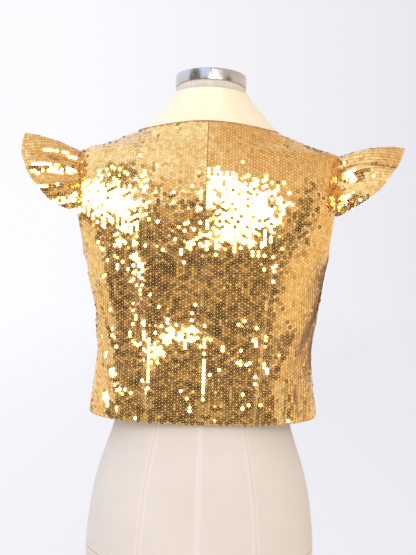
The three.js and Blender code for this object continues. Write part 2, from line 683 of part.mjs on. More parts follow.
function makeCapPlate() {
  const middleAngle = Math.asin(PLATE.across / CAP.radius);
  const spread = PLATE.width / CAP.radius;
  const pointAt = (radius) => (column, row) => {
    const angle = middleAngle + spread * (column / PLATE.columns - 0.5);
    const height = PLATE.foot + PLATE.height * row;
    return new THREE.Vector3(radius * Math.sin(angle), radius * Math.cos(angle), height);
  };
  const foot = CAP.radius + SEAM_GAP;
  return wall(PLATE.columns, 1, pointAt(foot + PLATE.wall), pointAt(foot));
}

const waistcoat = new THREE.Group();
for (const [sideName, side] of [['left', 1], ['right', -1]]) {
  waistcoat.add(namedMesh(`back_${sideName}`, makePanel(side, false), FINISHES.sequins));
  waistcoat.add(namedMesh(`front_${sideName}`, makePanel(side, true), FINISHES.sequins));
  waistcoat.add(namedMesh(`sleeve_${sideName}`, makeSleeve(sideName), FINISHES.sequins));
}
waistcoat.add(namedMesh('collar', makeCollar(), FINISHES.satin));

const neckCap = new THREE.Group();
neckCap.add(namedMesh('neck_cap', makeNeckCap(), FINISHES.polishedMetal));
neckCap.add(namedMesh('cap_plate', makeCapPlate(), FINISHES.polishedMetal));
neckCap.rotation.x = NECK_TILT;
neckCap.position.z = NECK_TOP_HEIGHT + SEAM_GAP;

const group = new THREE.Group();
group.add(namedMesh('form_body', makeFormBody(), FINISHES.linen));
group.add(waistcoat);
group.add(neckCap);

export default group;
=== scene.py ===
"""A sequinned waistcoat with flutter sleeves and a satin stand collar, on a limbless dress form.

Sizes are millimetres until a mesh is made. The garment's front faces -Y, the wearer's left is +X,
and the form stands on the floor at z = 0. Places on the cloth are given by turn and height: turn
is 0 at the centre back, 1 at the left side seam, 2 at the centre front, and negative on the right.
"""

import logging
import math
from collections.abc import Callable, Sequence
from dataclasses import dataclass, field
from enum import Enum

import bpy
import numpy as np
from mathutils import Matrix, Vector


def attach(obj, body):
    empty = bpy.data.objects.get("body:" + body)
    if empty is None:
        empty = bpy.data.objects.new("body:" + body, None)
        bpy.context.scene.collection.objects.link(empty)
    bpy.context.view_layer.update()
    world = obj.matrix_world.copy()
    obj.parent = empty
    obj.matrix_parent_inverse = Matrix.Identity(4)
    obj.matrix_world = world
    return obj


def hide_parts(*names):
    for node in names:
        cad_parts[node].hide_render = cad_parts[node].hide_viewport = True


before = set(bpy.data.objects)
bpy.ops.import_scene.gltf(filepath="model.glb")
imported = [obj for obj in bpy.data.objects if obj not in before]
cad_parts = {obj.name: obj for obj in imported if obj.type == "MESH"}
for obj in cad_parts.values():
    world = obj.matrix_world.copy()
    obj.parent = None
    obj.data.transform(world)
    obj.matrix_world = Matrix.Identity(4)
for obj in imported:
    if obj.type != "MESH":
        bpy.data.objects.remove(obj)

LOG = logging.getLogger("waistcoat")
MM = 0.001
SEED = 7
SMOOTH_ANGLE = math.radians(35)
Colour = tuple[float, float, float]


class Side(Enum):
    """The wearer's left or right, with its sign along X."""

    LEFT = 1
    RIGHT = -1

    @property
    def word(self) -> str:
        """The side's name in lower case."""
        return self.name.lower()


class Half(Enum):
    """The back or the front of the body."""

    BACK = "back"
    FRONT = "front"


@dataclass(frozen=True)
class Ring:
    """One level of a body skin: its half width, depths and the power of its superellipse."""

    height: float
    half: float
    back: float
    front: float
    power: float


@dataclass(frozen=True)
class Crease:
    """A line over the cloth between two places, each a way from the centre back and a height."""

    across: float
    height: float
    across_end: float
    height_end: float

    def beside(self, across: np.ndarray, height: np.ndarray) -> tuple[np.ndarray, np.ndarray]:
        """Finds the nearest place on the line to each place on the cloth.

        Args:
            across: The places' ways from the centre back.
            height: Their heights.

        Returns:
            The share of the line at which the nearest place lies, and how far off it is.
        """
        run_x = self.across_end - self.across
        run_z = self.height_end - self.height
        share = (across - self.across) * run_x + (height - self.height) * run_z
        share = np.clip(share / (run_x**2 + run_z**2), 0, 1)
        off = np.hypot(across - self.across - share * run_x, height - self.height - share * run_z)
        return share, off


@dataclass(frozen=True)
class Fold(Crease):
    """A drag line or flute: how far it stands out, and its half width."""

    relief: float
    width: float


@dataclass(frozen=True)
class Ripple(Crease):
    """A soft change of slope: its half width, and its lean across and up in radians."""

    width: float
    lean: float
    lift: float


@dataclass(frozen=True)
class Dart:
    """A stitched waist dart, by its distance from the centre line at the tip and at the hem."""

    tip: float
    tip_height: float
    hem: float
    groove: float
    half_width: float


@dataclass(frozen=True)
class Gather:
    """One crease of a gathered sleeve, with its place and relief at the seam and at the edge."""

    seam: float
    edge: float
    at_seam: float
    at_edge: float
    width: float


@dataclass(frozen=True)
class EdgePoint:
    """A place on a sleeve's free edge."""

    along: float
    out: float
    depth: float
    height: float


@dataclass(frozen=True)
class Cut:
    """A piece's flat cut: its width and length in metres, and its area in square metres."""

    width: float
    length: float
    area: float


# The coat's outer skin, level by level.
GARMENT_RINGS = (
    Ring(255, 181, 101, 118, 2.4),
    Ring(300, 176, 101, 118, 2.4),
    Ring(350, 169, 99, 119, 2.4),
    Ring(399, 165.5, 97, 122, 2.35),
    Ring(438, 168.5, 98, 128, 2.3),
    Ring(484, 177, 104, 137, 2.3),
    Ring(520, 184, 109, 142, 2.3),
    Ring(555, 192, 111.5, 139, 2.25),
    Ring(610, 207, 110, 124, 2.15),
    Ring(645, 211, 106.5, 109, 2.0),
    Ring(675, 208, 101, 95, 1.85),
    Ring(695, 202.5, 94, 85, 1.72),
    Ring(700, 200, 92.5, 82, 1.68),
    Ring(704.5, 190, 90, 79, 1.62),
    Ring(713, 160, 85, 72, 1.58),
    Ring(725, 129, 79, 62, 1.6),
    Ring(734, 107, 75, 56, 1.75),
    Ring(744, 96, 70, 52, 1.9),
    Ring(760, 84, 64, 50, 2.0),
)
# The form below its shoulders, and its neck. The shoulders follow the coat.
FORM_RINGS = (
    Ring(0, 171, 117, 111, 2.3),
    Ring(3, 173, 119, 113, 2.3),
    Ring(50, 175, 122, 116, 2.3),
    Ring(95, 175, 123, 117, 2.3),
    Ring(145, 171, 120, 115, 2.25),
    Ring(184, 165, 115, 112, 2.2),
    Ring(215, 157.5, 108, 109, 2.2),
    Ring(241, 149, 101, 107, 2.2),
    Ring(281, 136, 92, 105, 2.2),
    Ring(330, 125, 86, 104, 2.2),
    Ring(385, 122, 85, 104, 2.2),
    Ring(440, 130, 88, 111, 2.2),
    Ring(490, 142, 94, 122, 2.2),
    Ring(535, 152, 100, 129, 2.2),
    Ring(580, 161, 104, 124, 2.15),
    Ring(625, 171, 104, 107, 2.05),
    Ring(660, 178, 100, 92, 1.95),
    Ring(682, 181, 94, 82, 1.85),
)
FORM_NECK_RINGS = (
    Ring(742, 86, 65, 50, 1.9),
    Ring(749, 73, 61.5, 49.5, 2.0),
    Ring(760, 62, 58, 50, 2.0),
    Ring(776, 55.5, 54.5, 52, 2.0),
    Ring(799.2, 53.6, 53.6, 53.6, 2.0),
)
FORM_NECK_TILTS = (0.0, 0.05, 0.2, 0.55, 1.0)
FORM_SHOULDER_HEIGHTS = (700, 704.5, 710, 716, 722, 728, 733)

# The hem's edge, and the rows of a panel's grid by their heights at the side.
HEM_TURNS = (0, 0.5, 0.85, 1, 1.2, 1.4, 1.6, 2)
HEM_HEIGHTS = (288.5, 289, 293.5, 300, 287, 270, 264, 262)
ROW_HEIGHTS = (
    300, 318, 340, 362, 384, 406, 428, 450, 474, 498, 521, 542, 548, 558, 574, 593,
    612, 632, 652, 672, 688, 696, 700, 704.5, 710, 716, 722, 728, 734,
)
SLEEVE_FIRST_ROW = 16
SHOULDER_TIP_ROW = 22
# The waist darts, and the columns of a panel's grid on either side of one.
DARTS = {
    Half.BACK: Dart(103, 525, 82, 1.4, 5),
    Half.FRONT: Dart(92, 505, 84, 1.4, 5),
}
COLUMNS_TO_DART = 5
COLUMNS_PAST_DART = 7
PANEL_COLUMNS = COLUMNS_TO_DART + 2 + COLUMNS_PAST_DART

# Folds of the cloth, which the solids have too, and changes of slope in the sequins alone.
FOLDS = (
    Fold(222, 510, 141, 398, 3.4, 11),
    Fold(205, 478, 150, 392, -3.0, 9),
    Fold(205, 440, 131, 330, 3.2, 11),
    Fold(190, 400, 148, 330, -2.6, 10),
    Fold(-200, 495, -112, 368, 3.6, 14),
    Fold(-215, 455, -140, 372, -3.2, 12),
    Fold(-104, 352, -112, 286, 2.6, 9),
    Fold(-136, 358, -146, 286, 3.4, 10),
    Fold(-168, 350, -178, 288, 3.0, 10),
    Fold(-122, 345, -129, 284, -2.4, 9),
    Fold(-155, 345, -163, 284, -2.6, 9),
    Fold(-46, 610, -30, 452, 1.8, 24),
    Fold(60, 600, 42, 470, 1.6, 22),
    Fold(280, 500, 352, 410, 3.0, 13),
    Fold(288, 448, 350, 356, -2.8, 12),
    Fold(330, 350, 322, 268, 2.8, 13),
    Fold(-285, 492, -356, 404, 3.0, 13),
    Fold(-292, 436, -348, 362, -2.6, 12),
    Fold(-318, 352, -326, 268, 2.8, 12),
    Fold(228, 618, 246, 566, 12.5, 28),
    Fold(240, 500, 228, 425, -4.5, 30),
    Fold(-228, 608, -244, 576, 4.5, 26),
    Fold(-232, 465, -228, 425, 4, 24),
)

RIPPLES = (
    Ripple(-205, 500, -142, 340, 36, -0.24, 0.03),
    Ripple(10, 430, 58, 420, 27, -0.13, 0.09),
    Ripple(52, 425, 76, 398, 17, -0.12, 0.03),
    Ripple(68, 396, 84, 350, 12, -0.15, 0.09),
    Ripple(98, 534, 93, 468, 9, 0.10, 0.10),
    Ripple(84, 420, 82, 300, 6, -0.20, 0.10),
    Ripple(112, 505, 98, 440, 13, 0.09, 0.11),
    Ripple(196, 380, 176, 320, 14, -0.10, 0.06),
    Ripple(-3.2, 430, -3.2, 296, 2.2, 0.0, 0.105),
    Ripple(-106, 531, -92, 430, 3, 0.17, 0.10),
    Ripple(200, 505, 142, 400, 9, -0.05, -0.01),
    Ripple(160, 442, 102, 384, 13, 0.03, -0.12),
    Ripple(178, 495, 132, 415, 9, 0.14, 0.02),
    Ripple(160, 400, 120, 320, 12, 0.10, -0.05),
)

# Each sleeve's free edge from the back to the front, its crown and its gathers.
SLEEVE_EDGES = {
    Side.LEFT: (
        EdgePoint(0, 210, 44, 608),
        EdgePoint(0.08, 232, 55, 618),
        EdgePoint(0.18, 255, 62, 639),
        EdgePoint(0.28, 275, 56, 667),
        EdgePoint(0.38, 286, 38, 699),
        EdgePoint(0.47, 283, 12, 726),
        EdgePoint(0.56, 278, -14, 720),
        EdgePoint(0.68, 268, -42, 690),
        EdgePoint(0.8, 248, -56, 655),
        EdgePoint(0.91, 224, -56, 627),
        EdgePoint(1, 204, -50, 612),
    ),
    Side.RIGHT: (
        EdgePoint(0, 203, 45, 613),
        EdgePoint(0.08, 226, 57, 624),
        EdgePoint(0.18, 255, 64, 644),
        EdgePoint(0.28, 275, 58, 668),
        EdgePoint(0.38, 289, 40, 688),
        EdgePoint(0.47, 301, 14, 716),
        EdgePoint(0.56, 292, -14, 711),
        EdgePoint(0.68, 274, -42, 683),
        EdgePoint(0.8, 252, -57, 648),
        EdgePoint(0.91, 226, -57, 624),
        EdgePoint(1, 204, -50, 611),
    ),
}
SLEEVE_CROWN = {Side.LEFT: 5.0, Side.RIGHT: 8.0}
GATHERS = {
    Side.LEFT: (
        Gather(0.08, 0.1, 2.0, 3.0, 0.04),
        Gather(0.15, 0.19, -2.5, -2.5, 0.035),
        Gather(0.22, 0.25, 3.0, 3.5, 0.035),
        Gather(0.295, 0.31, -4.5, -2.5, 0.032),
        Gather(0.345, 0.37, 3.5, 3.5, 0.03),
        Gather(0.395, 0.43, -4.5, -1.5, 0.03),
        Gather(0.49, 0.49, 1.6, 3.0, 0.06),
        Gather(0.6, 0.6, -2.2, -3.5, 0.05),
        Gather(0.72, 0.7, 1.6, 4.0, 0.05),
        Gather(0.83, 0.81, -1.8, -3.0, 0.05),
    ),
    Side.RIGHT: (
        Gather(0.12, 0.14, -1.8, -2.5, 0.045),
        Gather(0.21, 0.22, 2.5, 3.5, 0.04),
        Gather(0.285, 0.32, -4.5, -2.0, 0.032),
        Gather(0.345, 0.385, 3.5, 3.0, 0.032),
        Gather(0.4, 0.42, -4.5, -0.5, 0.03),
        Gather(0.47, 0.48, 2.0, 2.5, 0.04),
        Gather(0.58, 0.58, 2.0, -3.0, 0.05),
        Gather(0.7, 0.69, -2.0, 3.5, 0.05),
        Gather(0.82, 0.8, 1.6, -3.0, 0.05),
    ),
}

# Walls, the gap at the seams and the panels' edges.
PANEL_WALL = 1.8
SLEEVE_WALL = 1.5
COLLAR_WALL = 1.4
SEAM_GAP = 0.3
UNDERARM_HEIGHT = 542
SHOULDER_TIP_HEIGHT = 700
SIDE_NECK_HEIGHT = 734
SIDE_HEM_HEIGHT = 300
BACK_NECK_RISE = 10
FRONT_NECK_DROP = 44
ARMHOLE_DEPTH = {Half.BACK: 46, Half.FRONT: 54}
ARMHOLE_LOW_BIAS = 0.85
NECK_TILT = math.radians(10)
NECK_TOP_HEIGHT = 799.5

# The flat cuts, measured along the built cloth with what the darts take up.
PANEL_CUTS = {Half.BACK: Cut(0.245, 0.476, 0.1048), Half.FRONT: Cut(0.266, 0.490, 0.1099)}

# Below this height the sequins lean down towards the hem.
HEM_LEAN = 0.075
HEM_LEAN_TOP = 410
HEM_LEAN_RUN = 40


def read_rows(places: Sequence[float], values: Sequence[float], at: np.ndarray) -> np.ndarray:
    """Reads a short table at many places, on a monotone cubic.

    Args:
        places: The rows' places, rising.
        values: The rows' values.
        at: Where to read. Past either end the end's value holds.

    Returns:
        The values there, in the shape of at.
    """
    x = np.asarray(places, float)
    y = np.asarray(values, float)
    slopes = np.diff(y) / np.diff(x)
    tangents = np.empty_like(y)
    tangents[0] = slopes[0]
    tangents[-1] = slopes[-1]
    before, after = slopes[:-1], slopes[1:]
    total = np.where(before + after == 0, 1, before + after)
    tangents[1:-1] = np.where(before * after <= 0, 0, 2 * before * after / total)
    held = np.clip(at, x[0], x[-1])
    row = np.clip(np.searchsorted(x, held, side="right") - 1, 0, len(x) - 2)
    span = x[row + 1] - x[row]
    t = (held - x[row]) / span
    return (
        (2 * t**3 - 3 * t**2 + 1) * y[row]
        + (t**3 - 2 * t**2 + t) * span * tangents[row]
        + (3 * t**2 - 2 * t**3) * y[row + 1]
        + (t**3 - t**2) * span * tangents[row + 1]
    )


def unit(vectors: np.ndarray) -> np.ndarray:
    """Vectors at length 1, along the last axis."""
    return vectors / np.maximum(np.linalg.norm(vectors, axis=-1, keepdims=True), 1e-9)


def run_along(line: np.ndarray) -> np.ndarray:
    """Length from a line's first point to each of its points."""
    steps = np.linalg.norm(np.diff(line, axis=0), axis=1)
    return np.concatenate([[0], np.cumsum(steps)])


def read_line(stops: np.ndarray, run: np.ndarray, line: np.ndarray) -> np.ndarray:
    """Points or directions of a line at the lengths given as stops."""
    return np.stack([np.interp(stops, run, line[:, axis]) for axis in range(3)], axis=-1)


class BodySkin:
    """A skin through a ring table, read by turn and height at equal shares of cloth length."""

    STEPS = 120
    LEVEL = 0.5
    ANGLES = 400
    TURN_STEP = 0.012
    RISE = 0.8
    CENTRE_TURN = 0.001

    def __init__(self, rings: Sequence[Ring]) -> None:
        """Works out every level of the skin once.

        Args:
            rings: The ring table, from the lowest level up.
        """
        self.low = rings[0].height
        heights = np.arange(self.low, rings[-1].height + self.LEVEL, self.LEVEL)
        table = [ring.height for ring in rings]
        half = read_rows(table, [ring.half for ring in rings], heights)
        power = read_rows(table, [ring.power for ring in rings], heights)
        depths = {
            Half.BACK: [ring.back for ring in rings],
            Half.FRONT: [ring.front for ring in rings],
        }
        self.points: dict[Half, np.ndarray] = {}
        self.lengths: dict[Half, np.ndarray] = {}
        for part, rows in depths.items():
            depth = read_rows(table, rows, heights)
            self.points[part], self.lengths[part] = self.even_levels(half, depth, power)

    def even_levels(
        self, half: np.ndarray, depth: np.ndarray, power: np.ndarray
    ) -> tuple[np.ndarray, np.ndarray]:
        """Works out the quarter rings at equal shares of their length.

        Args:
            half: Each level's half width.
            depth: Its depth.
            power: The power of its superellipse.

        Returns:
            The x and y of each level's places, and each level's length.
        """
        angles = np.linspace(0, math.pi / 2, self.ANGLES)
        x = half[:, None] * np.sin(angles) ** (2 / power[:, None])
        y = depth[:, None] * np.maximum(np.cos(angles), 0) ** (2 / power[:, None])
        run = np.hypot(np.diff(x, axis=1), np.diff(y, axis=1))
        length = np.concatenate([np.zeros((len(half), 1)), np.cumsum(run, axis=1)], axis=1)
        shares = np.linspace(0, 1, self.STEPS + 1)
        even = np.empty((len(half), self.STEPS + 1, 2))
        for level in range(len(half)):
            target = shares * length[level, -1]
            even[level, :, 0] = np.interp(target, length[level], x[level])
            even[level, :, 1] = np.interp(target, length[level], y[level])
        return even, length[:, -1]

    def quarter(self, height: np.ndarray, half: Half) -> np.ndarray:
        """Length of a quarter of the ring at each height."""
        rows = np.arange(len(self.lengths[half])) * self.LEVEL + self.low
        return np.interp(height, rows, self.lengths[half])

    def point(self, turn: np.ndarray, height: np.ndarray) -> np.ndarray:
        """Points of the skin.

        Args:
            turn: The places' turns.
            height: Their heights, in the same shape.

        Returns:
            Their x, y and z on a new last axis.
        """
        around = np.abs(turn)
        is_front = around > 1
        share = np.clip(np.where(is_front, 2 - around, around), 0, 1) * self.STEPS
        level = np.clip((height - self.low) / self.LEVEL, 0, len(self.lengths[Half.BACK]) - 1.001)
        first_step = np.minimum(share.astype(int), self.STEPS - 1)
        first_level = level.astype(int)
        past_step = (share - first_step)[..., None]
        past_level = (level - first_level)[..., None]
        read = {}
        for half, grid in self.points.items():
            rows = [
                grid[at, first_step] * (1 - past_step) + grid[at, first_step + 1] * past_step
                for at in (first_level, first_level + 1)
            ]
            read[half] = rows[0] * (1 - past_level) + rows[1] * past_level
        flat = np.where(is_front[..., None], read[Half.FRONT], read[Half.BACK])
        x = np.sign(turn) * flat[..., 0]
        y = np.where(is_front, -1, 1) * flat[..., 1]
        return np.stack([x, y, np.broadcast_to(height, x.shape)], axis=-1)

    def normal(self, turn: np.ndarray, height: np.ndarray) -> np.ndarray:
        """Outward directions of the skin.

        Args:
            turn: The places' turns.
            height: Their heights.

        Returns:
            A direction of length 1 for each, without any sideways part on the centre lines.
        """
        step, rise = self.TURN_STEP, self.RISE
        around = np.clip(np.abs(turn), step, 2 - step)
        east = self.point(around + step, height) - self.point(around - step, height)
        north = self.point(around, height + rise) - self.point(around, height - rise)
        normal = unit(np.cross(north, east))
        centred = (np.abs(turn) < self.CENTRE_TURN) | (np.abs(turn) > 2 - self.CENTRE_TURN)
        normal[..., 0] = np.where(centred, 0, normal[..., 0] * np.where(turn < 0, -1, 1))
        return unit(normal)


@dataclass
class Cloth:
    """The waistcoat's outer skin with its folds and darts."""

    skin: BodySkin = field(default_factory=lambda: BodySkin(GARMENT_RINGS))
    fold_end: float = 0.55
    dart_fade: float = 60
    dart_limit: float = 0.66
    side_hold: int = 4

    def relief(self, turn: np.ndarray, height: np.ndarray) -> np.ndarray:
        """How far folds and darts stand out of the plain skin.

        Args:
            turn: The places' turns.
            height: Their heights.

        Returns:
            The relief at each place, negative in the darts' grooves.
        """
        around = np.abs(turn)
        back = self.skin.quarter(height, Half.BACK)
        front = self.skin.quarter(height, Half.FRONT)
        across = np.sign(turn) * np.where(around <= 1, around * back, back + (around - 1) * front)
        total = np.zeros_like(across)
        for fold in FOLDS:
            share, off = fold.beside(across, height)
            taper = self.fold_end + (1 - self.fold_end) * np.sin(math.pi * share)
            total += fold.relief * taper * np.exp(-((off / fold.width) ** 2))
        for half, dart in DARTS.items():
            off = np.abs(around - self.dart_turn(height, half)) * self.skin.quarter(height, half)
            fade = np.clip((dart.tip_height - height) / self.dart_fade, 0, 1)
            inside = (off < dart.half_width) & ((around > 1) == (half is Half.FRONT))
            total -= np.where(inside, dart.groove * fade * (1 - off / dart.half_width), 0)
        return total

    def dart_turn(self, height: np.ndarray, half: Half) -> np.ndarray:
        """Turn of a dart's stitched line.

        Args:
            height: The heights to read it at.
            half: The back's dart or the front's.

        Returns:
            The turn at each height, on the left side.
        """
        dart = DARTS[half]
        up = np.clip((height - SIDE_HEM_HEIGHT) / (dart.tip_height - SIDE_HEM_HEIGHT), 0, 1)
        across = dart.hem + up * (dart.tip - dart.hem)
        share = np.minimum(self.dart_limit, across / self.skin.quarter(height, half))
        return 2 - share if half is Half.FRONT else share

    def point(self, turn: np.ndarray, height: np.ndarray, depth: float = 0.0) -> np.ndarray:
        """Points of the cloth at a depth under its outer skin."""
        out = (self.relief(turn, height) - depth)[..., None]
        return self.skin.point(turn, height) + self.skin.normal(turn, height) * out

    def frame_at(self, turn: np.ndarray, height: np.ndarray) -> tuple[np.ndarray, np.ndarray]:
        """Finds how the folded cloth lies.

        Args:
            turn: The places' turns.
            height: Their heights.

        Returns:
            The cloth's normals and its directions up the grain.
        """
        step, rise = 0.006, 1.2
        east = self.point(turn + step, height) - self.point(turn - step, height)
        north = self.point(turn, height + rise) - self.point(turn, height - rise)
        return unit(np.cross(north, east)), unit(north)

    def edge_turn(self, height: np.ndarray, half: Half) -> np.ndarray:
        """Turn of the side seam, the armhole and the shoulder seam.

        Args:
            height: The heights to read it at.
            half: The back's edge or the front's.

        Returns:
            The turn at each height, on the left side.
        """
        length = self.skin.quarter(height, half)
        up = np.clip((height - UNDERARM_HEIGHT) / (SHOULDER_TIP_HEIGHT - UNDERARM_HEIGHT), 0, 1)
        rounding = np.sqrt(np.maximum(np.sin(math.pi * up**ARMHOLE_LOW_BIAS), 0))
        inset = (SEAM_GAP / 2 + ARMHOLE_DEPTH[half] * rounding) / length
        return 1 + inset if half is Half.FRONT else 1 - inset

    def column_turn(self, column: np.ndarray, height: np.ndarray, half: Half) -> np.ndarray:
        """Turn of a panel's columns.

        Args:
            column: The columns, from the centre line at 0 to the side edge.
            height: The places' heights.
            half: The back or the front.

        Returns:
            The turn at each place, on the left side.
        """
        length = self.skin.quarter(height, half)
        sign = -1 if half is Half.FRONT else 1
        centre = (2 if half is Half.FRONT else 0) + sign * SEAM_GAP / 2 / length
        dart = self.dart_turn(height, half)
        width = DARTS[half].half_width / length
        near, far = dart - sign * width, dart + sign * width
        last = COLUMNS_TO_DART + 2
        return np.select(
            [column <= COLUMNS_TO_DART, column <= COLUMNS_TO_DART + 1, column <= last],
            [
                centre + (near - centre) * column / COLUMNS_TO_DART,
                near + (dart - near) * (column - COLUMNS_TO_DART),
                dart + (far - dart) * (column - COLUMNS_TO_DART - 1),
            ],
            far + (self.edge_turn(height, half) - far) * (column - last) / COLUMNS_PAST_DART,
        )

    def place(self, column: np.ndarray, row: np.ndarray, half: Half) -> tuple[np.ndarray, np.ndarray]:
        """Places a panel's grid points on the cloth.

        Args:
            column: The points' columns.
            row: Their rows, numbered as in ROW_HEIGHTS.
            half: The back or the front.

        Returns:
            Their turns, on the left side, and their heights.
        """
        side_height = np.interp(row, np.arange(len(ROW_HEIGHTS)), ROW_HEIGHTS)
        rough = self.column_turn(column, side_height, half)
        share = (side_height - SIDE_HEM_HEIGHT) / (SIDE_NECK_HEIGHT - SIDE_HEM_HEIGHT)
        hem = read_rows(HEM_TURNS, HEM_HEIGHTS, rough)
        spread = hem + (neck_height(rough) - hem) * share
        height = spread + (side_height - spread) * (column / PANEL_COLUMNS) ** self.side_hold
        return self.column_turn(column, height, half), height


def neck_height(turn: np.ndarray) -> np.ndarray:
    """Height of the neck seam at each turn."""
    facing = np.cos(np.abs(turn) * math.pi / 2)
    rise = np.where(np.abs(turn) <= 1, BACK_NECK_RISE, -FRONT_NECK_DROP)
    return SIDE_NECK_HEIGHT + rise * facing**2


def mesh_piece(
    name: str,
    points: np.ndarray,
    faces: np.ndarray,
    smooth: bool = True,
    values: dict[str, np.ndarray] | None = None,
) -> bpy.types.Object:
    """Makes one mesh object from points in millimetres.

    Args:
        name: The piece's name.
        points: Its points, one a row.
        faces: Its faces, one a row of corner numbers, all with as many corners.
        smooth: Whether its faces are shaded smooth.
        values: Named numbers, one for each point, for the materials.

    Returns:
        The new object, at the origin.
    """
    mesh = bpy.data.meshes.new(name)
    corners = faces.shape[1]
    mesh.vertices.add(len(points))
    mesh.vertices.foreach_set("co", (points * MM).astype(np.float32).ravel())
    mesh.loops.add(faces.size)
    mesh.loops.foreach_set("vertex_index", faces.astype(np.int32).ravel())
    mesh.polygons.add(len(faces))
    mesh.polygons.foreach_set("loop_start", np.arange(0, faces.size, corners, dtype=np.int32))
    mesh.update(calc_edges=True)
    mesh.polygons.foreach_set("use_smooth", np.full(len(faces), smooth))
    for word, numbers in (values or {}).items():
        layer = mesh.attributes.new(word, "FLOAT", "POINT")
        layer.data.foreach_set("value", np.asarray(numbers, np.float32).ravel())
    mesh.validate()
    piece = bpy.data.objects.new(name, mesh)
    bpy.context.scene.collection.objects.link(piece)
    return piece


def facing_out(points: np.ndarray, faces: np.ndarray) -> np.ndarray:
    """Turns a closed shell's faces outwards.

    Args:
        points: The shell's points, one a row.
        faces: Its faces, one a row of corner numbers.

    Returns:
        The faces, each turned over if the shell was inside out.
    """
    corners = points[faces]
    volume = 0.0
    for second in range(1, faces.shape[1] - 1):
        slants = np.cross(corners[:, second], corners[:, second + 1])
        volume += np.einsum("ij,ij->i", corners[:, 0], slants).sum()
    return faces if volume >= 0 else faces[:, ::-1]


def band_triangles(index: np.ndarray) -> np.ndarray:
    """Triangles between closed rings of points, whose numbers are given ring by ring."""
    onward = np.roll(index, -1, axis=1)
    quads = np.stack([index[:-1], onward[:-1], onward[1:], index[1:]], axis=-1).reshape(-1, 4)
    return np.concatenate([quads[:, [0, 1, 2]], quads[:, [0, 2, 3]]])


def wall_piece(name: str, outer: np.ndarray, inner: np.ndarray) -> bpy.types.Object:
    """Makes a closed wall between two grids of points.

    Args:
        name: The piece's name.
        outer: The outer face's grid, rows by columns by 3.
        inner: The inner face's grid, in the same shape.

    Returns:
        The new object. Its points hold 1 as their "inside" value on the inner face, else 0.
    """
    rows, columns = outer.shape[:2]
    index = np.arange(rows * columns).reshape(rows, columns)
    outer_quads = np.stack([index[:-1, :-1], index[:-1, 1:], index[1:, 1:], index[1:, :-1]], axis=-1)
    outer_quads = outer_quads.reshape(-1, 4)
    inner_quads = outer_quads[:, ::-1] + rows * columns
    border = np.concatenate([index[0, :-1], index[:-1, -1], index[-1, :0:-1], index[:0:-1, 0]])
    onward = np.roll(border, -1)
    rim = np.stack([onward, border, border + rows * columns, onward + rows * columns], axis=-1)
    faces = np.concatenate([outer_quads, inner_quads, rim])
    points = np.concatenate([outer.reshape(-1, 3), inner.reshape(-1, 3)])
    inside = np.repeat([0.0, 1.0], rows * columns)
    return mesh_piece(name, points, facing_out(points, faces), values={"inside": inside})


def sheet_normals(grid: np.ndarray) -> np.ndarray:
    """Normals of a sheet given as a grid of points."""
    return unit(np.cross(np.gradient(grid, axis=1), np.gradient(grid, axis=0)))


def bevel_edges(piece: bpy.types.Object, width: float, segments: int, angle: float) -> None:
    """Rounds a piece's sharp edges.

    Args:
        piece: The piece.
        width: The rounding's width.
        segments: How many faces it has across.
        angle: The least angle of an edge that is rounded, in degrees.
    """
    bevel = piece.modifiers.new("rounded edges", "BEVEL")
    bevel.width = width * MM
    bevel.segments = segments
    bevel.angle_limit = math.radians(angle)
    bpy.ops.object.select_all(action="DESELECT")
    piece.select_set(True)
    bpy.context.view_layer.objects.active = piece
    bpy.ops.object.modifier_apply(modifier=bevel.name)


